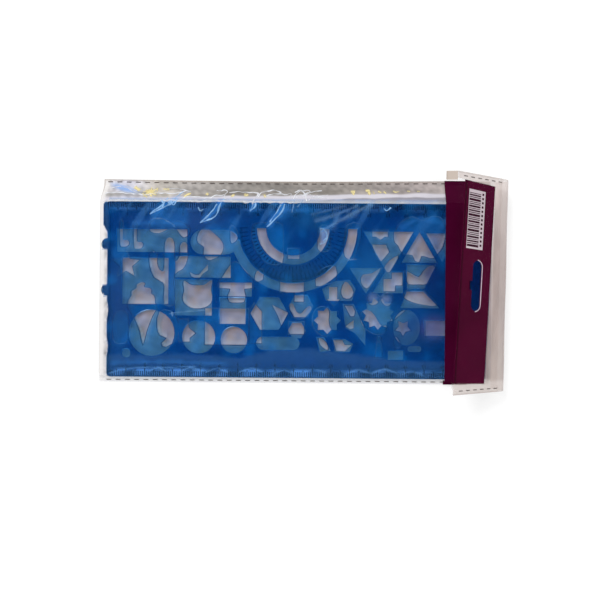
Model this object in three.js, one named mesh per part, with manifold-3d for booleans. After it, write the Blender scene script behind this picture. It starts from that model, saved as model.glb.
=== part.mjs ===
// Two drawing stencils in a clear film pouch with a raised header flap.
// Millimetres. X runs along the pouch from its folded end to its open mouth, Y across it, Z up.
import * as THREE from "three";
import { mergeVertices } from "three/addons/utils/BufferGeometryUtils.js";
import Module from "manifold-3d";

const wasm = await Module();
wasm.setup();

// Stencils
const STENCIL_LENGTH = 202;
const STENCIL_WIDTH = 94;
const STENCIL_THICKNESS = 1.2;
const STENCIL_CORNER = 2;
const EDGE_OVERHANG = 2.2; // how far the figure stencil's wavy edge stands out at its top
const EDGE_BUMP = 3.2; // radius of the half-round bumps on that edge
const EDGE_DIP = 1; // depth of the shallow dips on that edge

// Clear pouch
const FILM = 0.3;
const POUCH_LENGTH = 211;
const POUCH_WIDTH = 110;
const WELD_MARGIN = 2.4; // film outside each long weld
const WELD_GAP = 0.1;
const CLEARANCE = 0.3; // between pieces that lie on each other
const STENCIL_INSET = 4.8; // from the pouch's folded end to the stencils' straight edge
const LOWER_PLAY = 0.7; // from the lower weld to the stencils
const CROWN_PLAY = 0.4; // film that stays level past the stencils' long edges
const AIR = 0.8; // more room over the stencils, where the film stands off them

// Purple band across the pouch
const BAND_WIDTH = 13;
const BAND_THICKNESS = 0.3;
const BAND_FROM_MOUTH = 12.2;

// Header flap
const FOLD_RADIUS = 5; // of the film's middle, round the fold's axis
const FLAP_LENGTH = 34.5; // from the fold to the free edge
const FLAP_WIDTH = 110;
const FLAP_ANGLE = 32; // degrees above level, pointing back over the pouch
const FLAP_SKEW = 0.9; // degrees, the fold's turn seen from above
const FLAP_SHIFT = -1.5; // across the pouch
const POCKET_START = 1.5; // from the fold to the pocket's inner film

// Header card and its hang slot
const CARD_THICKNESS = 0.4;
const CARD_LENGTH = 101;
const CARD_WIDTH = 21.5;
const CARD_CENTRE = 20.6; // from the fold
const CARD_SHIFT = 0.5; // across the flap
const CARD_SKEW = 2.7; // degrees
const SLOT_LENGTH = 25.4;
const SLOT_WIDTH = 6.4;
const SLOT_FROM_CENTRE = 1.1; // from the card's middle line, towards the fold
const SLOT_SHIFT = -1.3; // across the card
const SLOT_BUMP_WIDTH = 4.5;
const SLOT_BUMP_DEPTH = 2.2;
const SLOT_PLAY = 0.2; // the films' slot is this much larger all round

// Levels, from the surface that the pouch lies on
const LOWER_STENCIL_Z = FILM + CLEARANCE;
const UPPER_STENCIL_Z = LOWER_STENCIL_Z + STENCIL_THICKNESS + CLEARANCE;
const UPPER_FILM_Z = UPPER_STENCIL_Z + STENCIL_THICKNESS + CLEARANCE + AIR;
const UPPER_FILM_TOP = UPPER_FILM_Z + FILM;
const FOLD_Z = UPPER_FILM_TOP + CLEARANCE + FILM / 2 + FOLD_RADIUS;

// Places along and across the pouch, whose folded end is at X = 0
const WELD_Y = POUCH_WIDTH / 2 - WELD_MARGIN;
const STENCIL_Y = -WELD_Y + LOWER_PLAY;
const BAND_X = POUCH_LENGTH - BAND_FROM_MOUTH - BAND_WIDTH;
const CARD_GAP = FILM / 2 + CLEARANCE + CARD_THICKNESS / 2; // between the card's and a film's middles

// How finely round stretches are drawn, and how far a cutter reaches past a plate
const ROUND_STEPS = 10;
const CORNER_STEPS = 4;
const CURVE_TENSION = 0.5;
const OVERCUT = 1;
const MERGE_DISTANCE = 1e-4;

const degrees = THREE.MathUtils.degToRad;
const point = (x, y) => new THREE.Vector2(x, y);

const AXIS_X = new THREE.Vector3(1, 0, 0);
const AXIS_Y = new THREE.Vector3(0, 1, 0);
const AXIS_Z = new THREE.Vector3(0, 0, 1);

const stencilBlue = new THREE.MeshStandardMaterial({ color: 0x1f6fc0, roughness: 0.2, metalness: 0 });
const clearFilm = new THREE.MeshStandardMaterial({ color: 0xe8e6e4, roughness: 0.1, metalness: 0 });
const purpleBand = new THREE.MeshStandardMaterial({ color: 0x4a0a2e, roughness: 0.35, metalness: 0 });
const purpleCard = new THREE.MeshStandardMaterial({ color: 0x4a0a2e, roughness: 0.5, metalness: 0 });

// A closed outline through points given as [x, y] pairs, with straight sides
function polygon(corners) {
  return new THREE.Shape(corners.map(([x, y]) => point(x, y)));
}

// A closed smooth outline through points given as [x, y] pairs
function smooth(points, steps = 3) {
  const places = points.map(([x, y]) => new THREE.Vector3(x, y, 0));
  const curve = new THREE.CatmullRomCurve3(places, true, "catmullrom", CURVE_TENSION);
  return new THREE.Shape(curve.getPoints(points.length * steps).slice(0, -1).map((p) => point(p.x, p.y)));
}

function rectangle(left, bottom, right, top) {
  return polygon([[left, bottom], [right, bottom], [right, top], [left, top]]);
}

// A point on a circle, with the angle in degrees
function onCircle(x, y, radius, angle) {
  return [x + radius * Math.cos(degrees(angle)), y + radius * Math.sin(degrees(angle))];
}

function ellipse(x, y, radiusX, radiusY, steps = 28) {
  const corners = [];
  for (let i = 0; i < steps; i += 1) {
    const angle = (2 * Math.PI * i) / steps;
    corners.push([x + radiusX * Math.cos(angle), y + radiusY * Math.sin(angle)]);
  }
  return polygon(corners);
}

function circle(x, y, diameter) {
  return ellipse(x, y, diameter / 2, diameter / 2);
}

function regular(sides, x, y, radius, turn = 0) {
  const corners = [];
  for (let i = 0; i < sides; i += 1) corners.push(onCircle(x, y, radius, turn + (360 * i) / sides));
  return polygon(corners);
}

// A star, or a splash, with its first point at the angle turn
function star(points, x, y, outer, inner, turn = 90) {
  const corners = [];
  for (let i = 0; i < 2 * points; i += 1) {
    corners.push(onCircle(x, y, i % 2 ? inner : outer, turn + (180 * i) / points));
  }
  return polygon(corners);
}

// An arc of outline points from one angle to another, in degrees
function arcPoints(x, y, radius, from, to, steps) {
  const corners = [];
  for (let i = 0; i <= steps; i += 1) corners.push(onCircle(x, y, radius, from + ((to - from) * i) / steps));
  return corners;
}

// A curved slot between two radii
function ringSlot(x, y, inner, outer, from, to, steps = 20) {
  return polygon([
    ...arcPoints(x, y, outer, from, to, steps),
    ...arcPoints(x, y, inner, to, from, steps),
  ]);
}

// A crescent between two arcs that meet at their ends
function crescent(x, y, radius, from, to, depth, steps = 10) {
  const outer = arcPoints(x, y, radius, from, to, steps);
  const middle = onCircle(x, y, radius - depth, (from + to) / 2);
  const start = outer[0];
  const end = outer[outer.length - 1];
  const inner = [];
  for (let i = 1; i < steps; i += 1) {
    const t = i / steps;
    const control = [2 * middle[0] - (start[0] + end[0]) / 2, 2 * middle[1] - (start[1] + end[1]) / 2];
    inner.push([0, 1].map((k) => (1 - t) ** 2 * end[k] + 2 * t * (1 - t) * control[k] + t ** 2 * start[k]));
  }
  return polygon([...outer, ...inner]);
}

// A slot with two half-round ends, along x
function stadium(left, bottom, right, top) {
  const radius = (top - bottom) / 2;
  return polygon([
    ...arcPoints(right - radius, bottom + radius, radius, -90, 90, ROUND_STEPS),
    ...arcPoints(left + radius, bottom + radius, radius, 90, 270, ROUND_STEPS),
  ]);
}

// A solid for cutting and joining from a closed mesh
function toSolid(geometry) {
  const bare = geometry.index ? geometry.toNonIndexed() : geometry.clone();
  bare.deleteAttribute("normal");
  bare.deleteAttribute("uv");
  const merged = mergeVertices(bare, MERGE_DISTANCE);
  return new wasm.Manifold(new wasm.Mesh({
    numProp: 3,
    vertProperties: merged.attributes.position.array,
    triVerts: new Uint32Array(merged.index.array),
  }));
}

function toGeometry(solid) {
  const mesh = solid.getMesh();
  const geometry = new THREE.BufferGeometry();
  geometry.setAttribute("position", new THREE.BufferAttribute(new Float32Array(mesh.vertProperties), 3));
  geometry.setIndex(new THREE.BufferAttribute(new Uint32Array(mesh.triVerts), 1));
  geometry.computeVertexNormals();
  return geometry;
}

// A flat plate from an outline, between two levels
function plate(outline, bottom, top) {
  const geometry = new THREE.ExtrudeGeometry(outline, {
    depth: top - bottom,
    bevelEnabled: false,
    curveSegments: ROUND_STEPS,
  });
  return geometry.translate(0, 0, bottom);
}

// A plate with each of the given outlines cut through it
function cutPlate(outline, cuts, bottom, top) {
  let solid = toSolid(plate(outline, bottom, top));
  for (const cut of cuts) {
    solid = solid.subtract(toSolid(plate(cut, bottom - OVERCUT, top + OVERCUT)));
  }
  return toGeometry(solid);
}

// The same path, moved sideways to its left by a distance
function offsetPath(path, distance) {
  return path.map((here, i) => {
    const before = path[Math.max(i - 1, 0)];
    const after = path[Math.min(i + 1, path.length - 1)];
    const into = here.clone().sub(before);
    const out = after.clone().sub(here);
    if (into.lengthSq() === 0) into.copy(out);
    if (out.lengthSq() === 0) out.copy(into);
    const normalIn = point(-into.y, into.x).normalize();
    const normalOut = point(-out.y, out.x).normalize();
    const miter = normalIn.clone().add(normalOut).normalize();
    return here.clone().addScaledVector(miter, distance / miter.dot(normalOut));
  });
}

// The outline of a sheet of even thickness that follows a path
function sheetOutline(path, thickness) {
  const left = offsetPath(path, thickness / 2);
  const right = offsetPath(path, -thickness / 2);
  return new THREE.Shape([...right, ...left.reverse()]);
}

// A prism whose outline lies across X, from one X to another
function prismAlongX(outline, from, to) {
  const geometry = new THREE.ExtrudeGeometry(outline, { depth: to - from, bevelEnabled: false });
  geometry.translate(0, 0, from);
  return geometry.applyMatrix4(new THREE.Matrix4().makeBasis(AXIS_Y, AXIS_Z, AXIS_X));
}

// A prism whose outline lies across Y, centred on Y = 0
function prismAlongY(outline, width) {
  const geometry = new THREE.ExtrudeGeometry(outline, { depth: width, bevelEnabled: false });
  geometry.translate(0, 0, -width / 2);
  return geometry.applyMatrix4(new THREE.Matrix4().makeBasis(AXIS_X, AXIS_Z, AXIS_Y.clone().negate()));
}

function named(name, geometry, material) {
  const mesh = new THREE.Mesh(geometry, material);
  mesh.name = name;
  return mesh;
}

// Both stencils are drawn from the lower corner of their straight left edge

function straightOutline() {
  const corner = STENCIL_CORNER;
  const right = STENCIL_LENGTH - corner;
  const top = STENCIL_WIDTH - corner;
  return polygon([
    ...arcPoints(corner, corner, corner, 180, 270, CORNER_STEPS),
    ...arcPoints(right, corner, corner, 270, 360, CORNER_STEPS),
    ...arcPoints(right, top, corner, 0, 90, CORNER_STEPS),
    ...arcPoints(corner, top, corner, 90, 180, CORNER_STEPS),
  ]);
}

function wavyOutline() {
  const corner = STENCIL_CORNER;
  const right = STENCIL_LENGTH - corner;
  const top = STENCIL_WIDTH - corner;
  return polygon([
    ...arcPoints(corner, corner, corner, 180, 270, CORNER_STEPS),
    ...arcPoints(right, corner, corner, 270, 360, CORNER_STEPS),
    ...arcPoints(right, top, corner, 0, 90, CORNER_STEPS),
    ...arcPoints(corner - EDGE_OVERHANG, top, corner, 90, 180, CORNER_STEPS),
    [-EDGE_OVERHANG, 81.5], [0, 77.5],
    ...arcPoints(0, 71, EDGE_BUMP, 90, 270, ROUND_STEPS),
    ...arcPoints(0, 46.5, EDGE_BUMP, 90, 270, ROUND_STEPS),
    [0, 41], [EDGE_DIP, 36],
    [0, 31], [0, 21],
    [EDGE_DIP, 16], [0, 11],
  ]);
}

function geometryCuts() {
  const protractor = [99.5, 80.5];
  return [
    rectangle(4.5, 67, 42.5, 79.5),
    stadium(44, 66, 70, 79.5),
    rectangle(7.5, 39, 32.5, 64),
    rectangle(36, 53.5, 66, 65),
    rectangle(36, 33, 56, 52.5),
    rectangle(60, 43.5, 77.5, 51),
    rectangle(60.2, 28.7, 74.2, 42.7),
    circle(23.5, 23.5, 25),
    circle(49, 21.5, 18),
    circle(68, 20, 14.4),
    circle(10, 12.5, 4.8),
    regular(6, 87, 34.5, 10.2),
    regular(6, 104, 38.5, 6.8),
    regular(6, 101.9, 25.4, 4.8),
    stadium(80, 14.8, 103.5, 22),
    ringSlot(...protractor, 14.6, 19.6, 180, 360),
    ringSlot(...protractor, 29.7, 34.6, 193, 360, 28),
    polygon([[137.5, 79.2], [151, 56], [164.5, 79.2]]),
    polygon([[158, 62.5], [177.5, 62.5], [167.7, 79.2]]),
    polygon([[171, 78.5], [180, 62.7], [189, 78.5]]),
    polygon([[130, 59.5], [139, 45.5], [148, 59.5]]),
    polygon([[149.5, 57.5], [142.5, 46], [159, 46], [159, 57.5]]),
    polygon([[161, 48.5], [170.5, 48.5], [177, 61.5], [161, 61.5]]),
    polygon([[157.5, 38], [179, 38], [170.2, 47], [161, 47]]),
    star(11, 145.7, 34.8, 8.7, 6.7, -90),
    ellipse(161.1, 27.5, 7.4, 9.6),
    rectangle(170.5, 23.2, 188.5, 31.5),
    stadium(161.5, 14.3, 169.3, 17.7),
    rectangle(151, 10, 159.5, 15),
    polygon([[115.3, 47.9], [117.5, 41.6], [131.5, 41.6], [133.6, 48], [130.3, 52.9], [122.8, 52.3]]),
    star(8, 118.4, 31, 7.4, 5.5),
    polygon([[126.5, 40], [132.5, 40], [139, 26], [139, 17.5], [133, 24.5], [128, 27]]),
    polygon([[112.5, 21.8], [116.5, 21.8], [120.5, 14.5], [114.5, 14]]),
    polygon([[121.5, 21], [128, 21], [132.5, 18.5], [130.5, 14], [122.5, 14]]),
  ];
}

const cactus = () => smooth([
  [30.5, 39], [36, 39], [36, 46], [36, 55], [40.5, 58], [43, 63.5], [43, 70.5], [40.8, 72.6], [38.7, 70.5],
  [38.7, 65], [36, 62], [36, 70], [35, 74], [33, 75], [31.3, 73.8], [30.5, 70], [30.5, 62], [30, 57],
  [28, 57.5], [26.7, 61], [26.7, 65.5], [24.6, 67.4], [22.6, 65.5], [22.6, 60], [25, 53.5],
  [30, 50.5], [30.5, 46],
], 2);

const iceCream = () => smooth([
  [15.6, 49.3], [16.9, 50.3], [18.6, 50.8], [20.4, 50], [19.7, 48.6], [20.6, 47.8], [22.8, 47.7],
  [23.8, 46.4], [23.6, 44.7], [25.2, 43.5], [25.7, 41.6], [25.8, 39.6], [26.8, 36.8],
  [24.6, 33], [21.4, 24.5], [19.4, 17], [17.6, 24.5], [14.2, 32.5], [11.4, 36.5], [11, 39.4], [11.3, 41],
  [13, 43.8], [12.9, 45.8], [15.5, 47.6],
], 2);

const strawberry = () => smooth([
  [48, 75], [50, 79.3], [54.2, 79.4], [58, 76.5], [61.3, 73], [62.2, 69.5], [60.5, 65.5], [57, 63.6],
  [54, 63], [51.4, 66], [51.6, 70], [48.6, 72],
], 2);

const mushroom = () => smooth([
  [60, 48], [66, 47.6], [64.7, 44], [65.6, 40.6], [69.5, 40.2], [73.4, 40.6], [74.2, 44], [73.6, 47.6],
  [78.2, 48.2], [78, 52.3], [74, 57.8], [70.8, 61], [68.5, 62], [66, 60.6], [62, 54.5], [59.8, 50.5],
], 2);

const catHead = () => smooth([
  [41, 51.7], [42.7, 51], [44.9, 49.6], [48.2, 49.3], [51.9, 49.6], [54, 51.2], [56, 52.2],
  [56.2, 50.4], [55.6, 46.9], [56.4, 43.4], [55.7, 39.8], [52.6, 37.5],
  [48.3, 36.9], [44.6, 37.4], [41.3, 39.8], [40.4, 42.9], [41.2, 46.4], [40.8, 49.5],
], 2);

const cloud = (x, y) => smooth([
  [x, y], [x + 0.6, y + 4.4], [x + 4.6, y + 6.6], [x + 9, y + 6.2], [x + 11.6, y + 4], [x + 15, y + 5.4],
  [x + 18.6, y + 4], [x + 21.4, y + 1.6], [x + 21.2, y - 1.6], [x + 18.4, y - 3.4], [x + 16, y - 1.4],
  [x + 14.2, y + 1], [x + 9.8, y + 0.9], [x + 5.1, y - 1.2],
], 2);

const sunglasses = () => smooth([
  [140, 44], [141.4, 46], [144, 46], [145.6, 44.3], [147.4, 44.3], [149, 46], [151.8, 46], [153.2, 44],
  [152.6, 40.4], [150.2, 39], [147.8, 40.6], [146.5, 43], [145.2, 40.6], [142.8, 39.4], [140.4, 40.6],
], 2);

const boot = () => smooth([
  [159.6, 58], [163.4, 56.6], [167.2, 54.8], [169.4, 57.8], [172.2, 60.4], [175, 61], [176, 59],
  [174.4, 55.5], [172, 51.2], [167, 50.8], [161.6, 51], [160.6, 54],
], 2);

const leaf = (x, y, length, width, turn) => smooth([
  onCircle(x, y, length / 2, turn),
  onCircle(x, y, width / 2, turn + 80),
  onCircle(x, y, length / 2, turn + 180),
  onCircle(x, y, width / 2, turn + 260),
], 3);

const note = (x, y) => smooth([
  [x, y + 12.5], [x + 1.7, y + 12.5], [x + 1.7, y + 3.4], [x + 4, y + 3.2], [x + 5.2, y + 1.4],
  [x + 4, y - 0.4], [x + 1.4, y - 0.6], [x, y + 0.8],
], 2);

function figureCuts() {
  return [
    note(6.5, 70.3),
    note(14, 69.3),
    star(5, 10, 60.3, 7.8, 3.5),
    cloud(22.5, 78.3),
    cactus(),
    iceCream(),
    smooth([[28, 35], [34.5, 35.2], [38.2, 29.5], [38, 21], [31.5, 16], [29.3, 18], [32, 20.8], [28.4, 22.4],
      [26.8, 27]], 2),
    smooth([[3, 24], [3.4, 31], [6, 35], [10, 34.6], [11.6, 30], [11.4, 20.5], [9, 18], [4.6, 18.4]], 2),
    strawberry(),
    polygon([[44, 56.5], [47, 55], [49, 55], [54, 61], [54, 57.5], [51.2, 55.4], [49, 52.5], [45, 54]]),
    catHead(),
    mushroom(),
    polygon([[38.3, 31], [43.5, 31], [44, 26.5], [47.5, 23.6], [44.5, 21], [44.5, 19], [38.9, 19]]),
    rectangle(52.5, 17.5, 76, 37),
    smooth([[65.9, 81], [68.2, 80.4], [69.8, 77.4], [69.4, 74], [67.1, 72], [65.9, 73.4]], 2),
    polygon([[76.5, 18.5], [83, 18.5], [83, 35.5], [79, 40], [76.5, 35.5]]),
    smooth([[78, 82], [86, 83], [93.7, 82.4], [94, 70], [93.8, 61.6], [86, 61.4], [80.6, 66],
      [77.8, 73]], 2),
    rectangle(96.7, 64, 103, 69.5),
    polygon([[92.8, 46], [92.8, 52.2], [105.5, 52.2], [105.5, 41], [100.5, 41], [100.5, 46]]),
    smooth([[79.2, 52], [80, 57], [83.4, 58.2], [83.4, 52.6]], 2),
    polygon([[88.5, 39.2], [97.2, 35], [93.6, 28], [91.8, 33]]),
    smooth([[98, 39.6], [99.8, 39.8], [101.6, 35.6], [104, 34.6], [106.2, 37], [108.6, 38.8], [109.8, 37],
      [106.6, 33], [103.6, 31.8], [100.6, 32.4], [98.4, 36]], 2),
    rectangle(97.5, 23.5, 105.7, 30.2),
    polygon([[118, 42.5], [119, 42.5], [119, 49], [123.5, 49], [123.5, 42.5], [125, 42.5], [121.5, 39]]),
    smooth([[112, 49.5], [112.6, 56], [117, 59.5], [122.5, 60], [122.6, 52.5], [117.5, 50.6]], 2),
    smooth([[112.8, 69.5], [113.2, 80.5], [117, 82], [119.2, 80], [119.4, 70], [116, 68]], 2),
    smooth([[128.4, 82], [135.8, 82.4], [135, 72], [132, 65], [128.4, 64.4], [126.8, 68.5]], 2),
    smooth([[127.6, 52], [130.4, 50], [132.2, 46.2], [130.4, 43], [126.6, 43.4], [125.6, 47.5]], 2),
    smooth([[115.8, 38.4], [118.5, 37.3], [119.3, 34.6], [119, 31.5], [119.6, 27.6], [121, 24.8],
      [117.5, 22.5], [113.4, 24.2], [110.9, 27.5], [110.2, 31.4], [111, 35.3], [113, 37.6]], 2),
    leaf(116.3, 18.4, 8, 3.4, 125),
    polygon([[127.5, 39], [131.6, 39], [133.2, 36], [132.6, 33.4], [130.6, 33.4], [128.6, 37]]),
    polygon([[128, 28], [132.5, 31.5], [132.5, 27], [130.5, 26.5]]),
    polygon([[121.5, 20.5], [126.5, 20.5], [127.6, 18], [131.6, 18], [128, 14.6], [123.2, 14.8]]),
    polygon([[142, 72], [149.5, 72], [151.2, 68], [147, 63], [144.2, 65]]),
    polygon([[142, 79.6], [142, 76.2], [144, 76.2], [146.3, 74.6], [148.6, 76.2], [150.6, 76.2],
      [150.6, 79.6]]),
    smooth([[155, 80.5], [158, 84.5], [163.5, 87], [167.5, 85], [170, 85], [173, 87], [177.5, 87],
      [180, 84.5],
      [181.5, 79], [180.5, 73], [179, 69.5], [175, 65], [171.5, 65.5], [168.5, 66], [167.5, 63], [165, 63.5],
      [163.5, 66.5], [159.5, 67], [157, 69], [156, 71.5], [154, 73.5], [153.5, 78]], 2),
    smooth([[156, 66.2], [154.8, 61.6], [151.4, 57.2], [148.4, 59], [151.2, 63.4]], 2),
    smooth([[146.8, 59.6], [145, 55.8], [142, 51.4], [139.6, 48.4], [137, 50], [136, 53], [137.2, 55.8],
      [142, 56.6]], 2),
    polygon([[152.6, 57], [158.4, 57], [158.4, 50.2], [154.6, 50.2], [154.6, 47], [148.2, 47], [148.2, 53.6],
      [152.6, 53.6]]),
    boot(),
    sunglasses(),
    smooth([[159, 44], [161, 47.6], [168, 48.4], [173, 44.6], [177, 39.6], [170.5, 39.8], [164, 41.2]], 2),
    smooth([[138.5, 36.9], [141.6, 36.2], [144.1, 33.4], [146, 30], [148, 28.2], [149.8, 28.8],
      [150, 26.2], [147.2, 23.9], [143.3, 24.2], [138.6, 26.9], [136.2, 30.8], [136, 34.7]], 2),
    crescent(160.8, 27.6, 9.4, 92, 168, 2.2),
    star(5, 159, 27.4, 4.6, 2.6, 54),
    rectangle(171, 22.4, 182, 31.2),
    polygon([[144, 11.5], [148, 11.5], [147, 19.4], [145, 19.4]]),
    circle(146, 21.3, 2.2),
    leaf(155.6, 19.6, 6.4, 3.4, 100),
  ];
}

function geometryStencil() {
  const top = LOWER_STENCIL_Z + STENCIL_THICKNESS;
  const sheet = cutPlate(straightOutline(), geometryCuts(), LOWER_STENCIL_Z, top);
  return named("geometry_template", sheet, stencilBlue);
}

function figureStencil() {
  const top = UPPER_STENCIL_Z + STENCIL_THICKNESS;
  const sheet = cutPlate(wavyOutline(), figureCuts(), UPPER_STENCIL_Z, top);
  return named("figure_template", sheet, stencilBlue);
}

// The middle of the upper film, across the pouch: welded margins, sloping sides and a level crown
function crownPath() {
  const seam = FILM + WELD_GAP + FILM / 2;
  const crown = UPPER_FILM_Z + FILM / 2;
  const crownTop = STENCIL_Y + STENCIL_WIDTH + CROWN_PLAY;
  return [
    point(-POUCH_WIDTH / 2, seam),
    point(-WELD_Y, seam),
    point(STENCIL_Y - CROWN_PLAY, crown),
    point(crownTop, crown),
    point(WELD_Y, seam),
    point(POUCH_WIDTH / 2, seam),
  ];
}

function lowerSheet() {
  const half = POUCH_WIDTH / 2;
  return named("pouch_lower_sheet", plate(rectangle(0, -half, POUCH_LENGTH, half), 0, FILM), clearFilm);
}

// The end wall closes the upper film at the pouch's folded end
function upperSheet() {
  const path = crownPath();
  const sheet = toSolid(prismAlongX(sheetOutline(path, FILM), 0, POUCH_LENGTH));
  const seam = FILM + WELD_GAP;
  const top = offsetPath(path, FILM / 2);
  const foot = [point(-POUCH_WIDTH / 2, seam), point(POUCH_WIDTH / 2, seam)];
  const wall = new THREE.Shape([...foot, ...top.reverse()]);
  const joined = sheet.add(toSolid(prismAlongX(wall, 0, FILM)));
  return named("pouch_upper_sheet", toGeometry(joined), clearFilm);
}

function band() {
  const path = offsetPath(crownPath(), FILM / 2 + WELD_GAP + BAND_THICKNESS / 2);
  const outline = sheetOutline(path, BAND_THICKNESS);
  return named("mouth_band", prismAlongX(outline, BAND_X, BAND_X + BAND_WIDTH), purpleBand);
}

// The hang slot, drawn round the card's middle with the fold towards +X
function slotOutline(play) {
  const half = SLOT_LENGTH / 2 + play;
  const radius = SLOT_WIDTH / 2 + play;
  const bump = SLOT_BUMP_WIDTH / 2 + play;
  const bumpX = SLOT_FROM_CENTRE - radius - SLOT_BUMP_DEPTH;
  return polygon([
    ...arcPoints(SLOT_FROM_CENTRE, SLOT_SHIFT + half - radius, radius, 0, 180, ROUND_STEPS),
    [SLOT_FROM_CENTRE - radius, SLOT_SHIFT + bump], [bumpX, SLOT_SHIFT + bump],
    [bumpX, SLOT_SHIFT - bump], [SLOT_FROM_CENTRE - radius, SLOT_SHIFT - bump],
    ...arcPoints(SLOT_FROM_CENTRE, SLOT_SHIFT - half + radius, radius, 180, 360, ROUND_STEPS),
  ]);
}

// A cutter for the hang slot, in the flap's frame: the fold at X = 0 and the free edge towards -X
function slotCutter(play) {
  const reach = FOLD_RADIUS / 2;
  const cutter = plate(slotOutline(play), -reach, reach);
  cutter.rotateZ(-degrees(CARD_SKEW));
  cutter.translate(-CARD_CENTRE, CARD_SHIFT, 0);
  return toSolid(cutter);
}

// The flap's main film: a round fold over its axis, then a straight leaf to the free edge
function outerFilm() {
  const turn = 180 - FLAP_ANGLE;
  const fold = arcPoints(0, -FOLD_RADIUS, FOLD_RADIUS, 90 - turn, 90, ROUND_STEPS);
  const path = [...fold, [-FLAP_LENGTH, 0]].map(([x, y]) => point(x, y));
  const film = toSolid(prismAlongY(sheetOutline(path, FILM), FLAP_WIDTH));
  return named("flap_outer_sheet", toGeometry(film.subtract(slotCutter(SLOT_PLAY))), clearFilm);
}

// The pocket's second film, under the card: its margins rise to meet the outer film
function innerFilm() {
  const seam = -FILM - WELD_GAP;
  const deep = -2 * CARD_GAP;
  const weld = FLAP_WIDTH / 2 - WELD_MARGIN;
  const path = [
    point(-FLAP_WIDTH / 2, seam),
    point(-weld, seam),
    point(-weld + CROWN_PLAY, deep),
    point(weld - CROWN_PLAY, deep),
    point(weld, seam),
    point(FLAP_WIDTH / 2, seam),
  ];
  const film = toSolid(prismAlongX(sheetOutline(path, FILM), -FLAP_LENGTH, -POCKET_START));
  return named("flap_inner_sheet", toGeometry(film.subtract(slotCutter(SLOT_PLAY))), clearFilm);
}

function headerCard() {
  const outline = rectangle(-CARD_WIDTH / 2, -CARD_LENGTH / 2, CARD_WIDTH / 2, CARD_LENGTH / 2);
  const card = cutPlate(outline, [slotOutline(0)], -CARD_THICKNESS / 2, CARD_THICKNESS / 2);
  const mesh = named("header_card", card, purpleCard);
  mesh.rotation.z = -degrees(CARD_SKEW);
  mesh.position.set(-CARD_CENTRE, CARD_SHIFT, -CARD_GAP);
  return mesh;
}

// The fold's frame stands on the pouch's mouth; the leaf's frame tilts with the flap
function flap() {
  const leaf = new THREE.Group();
  leaf.add(outerFilm(), innerFilm(), headerCard());
  leaf.rotation.y = degrees(FLAP_ANGLE);
  leaf.position.set(FOLD_RADIUS * Math.sin(leaf.rotation.y), 0, FOLD_RADIUS * Math.cos(leaf.rotation.y));
  const fold = new THREE.Group();
  fold.name = "fold";
  fold.add(leaf);
  fold.rotation.z = -degrees(FLAP_SKEW);
  fold.position.set(POUCH_LENGTH, FLAP_SHIFT, FOLD_Z);
  return fold;
}

function stencils() {
  const pair = new THREE.Group();
  pair.add(geometryStencil(), figureStencil());
  pair.position.set(STENCIL_INSET, STENCIL_Y, 0);
  return pair;
}

// The whole set, with its origin under the middle of its box
function stencilSet() {
  const set = new THREE.Group();
  set.add(lowerSheet(), stencils(), upperSheet(), band(), flap());
  set.updateMatrixWorld(true);
  const middle = new THREE.Box3().setFromObject(set, true).getCenter(new THREE.Vector3());
  for (const piece of set.children) {
    piece.position.x -= middle.x;
    piece.position.y -= middle.y;
  }
  return set;
}

export default stencilSet();
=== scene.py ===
"""The looks of two blue drawing stencils in a clear film pouch with a raised header flap.

Lengths are written in millimetres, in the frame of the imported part, and become metres in mesh_piece().
"""

import math

import bmesh
import bpy
import numpy as np
from mathutils import Matrix, Vector

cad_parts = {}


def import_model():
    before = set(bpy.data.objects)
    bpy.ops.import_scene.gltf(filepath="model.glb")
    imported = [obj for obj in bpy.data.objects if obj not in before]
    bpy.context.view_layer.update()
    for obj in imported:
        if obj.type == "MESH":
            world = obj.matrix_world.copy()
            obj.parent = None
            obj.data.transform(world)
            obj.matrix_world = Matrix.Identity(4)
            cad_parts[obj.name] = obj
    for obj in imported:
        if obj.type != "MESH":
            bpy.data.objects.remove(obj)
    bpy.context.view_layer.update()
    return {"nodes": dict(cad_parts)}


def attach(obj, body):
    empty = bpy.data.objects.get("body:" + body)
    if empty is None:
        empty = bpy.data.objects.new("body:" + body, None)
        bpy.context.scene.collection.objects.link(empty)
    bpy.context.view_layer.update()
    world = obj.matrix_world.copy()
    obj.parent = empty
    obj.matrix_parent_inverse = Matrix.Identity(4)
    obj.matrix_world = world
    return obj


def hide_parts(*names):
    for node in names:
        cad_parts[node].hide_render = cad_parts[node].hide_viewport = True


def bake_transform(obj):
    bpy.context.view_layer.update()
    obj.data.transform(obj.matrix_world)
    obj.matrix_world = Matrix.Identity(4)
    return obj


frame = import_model()
nodes = frame["nodes"]

MM = 0.001

# The stencils' lower left corner, seen from above, and their size
STENCIL_X = -103.707
STENCIL_Y = -51.113
STENCIL_LENGTH = 202.0
STENCIL_WIDTH = 94.0
STENCIL_HIGH = STENCIL_Y + STENCIL_WIDTH
STENCIL_THICKNESS = 1.2
GEOMETRY_TOP = 1.8
FIGURE_TOP = 3.3
PRINT_LIFT = 0.03
RIM_HEIGHT = 0.08
SAME_PLACE = 0.000001
STRAIGHT = math.radians(1)

# The pouch
POUCH_LEFT = -108.507
POUCH_RIGHT = 102.493
POUCH_LOW = -54.213
POUCH_HIGH = 55.787
FILM_INSET = 0.05
WELD_MARGIN = 2.4
LOWER_FILM_Z = 0.15
SEAM_Z = 0.55
CROWN_Z = 4.1
BAND_END = 90.3

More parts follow.
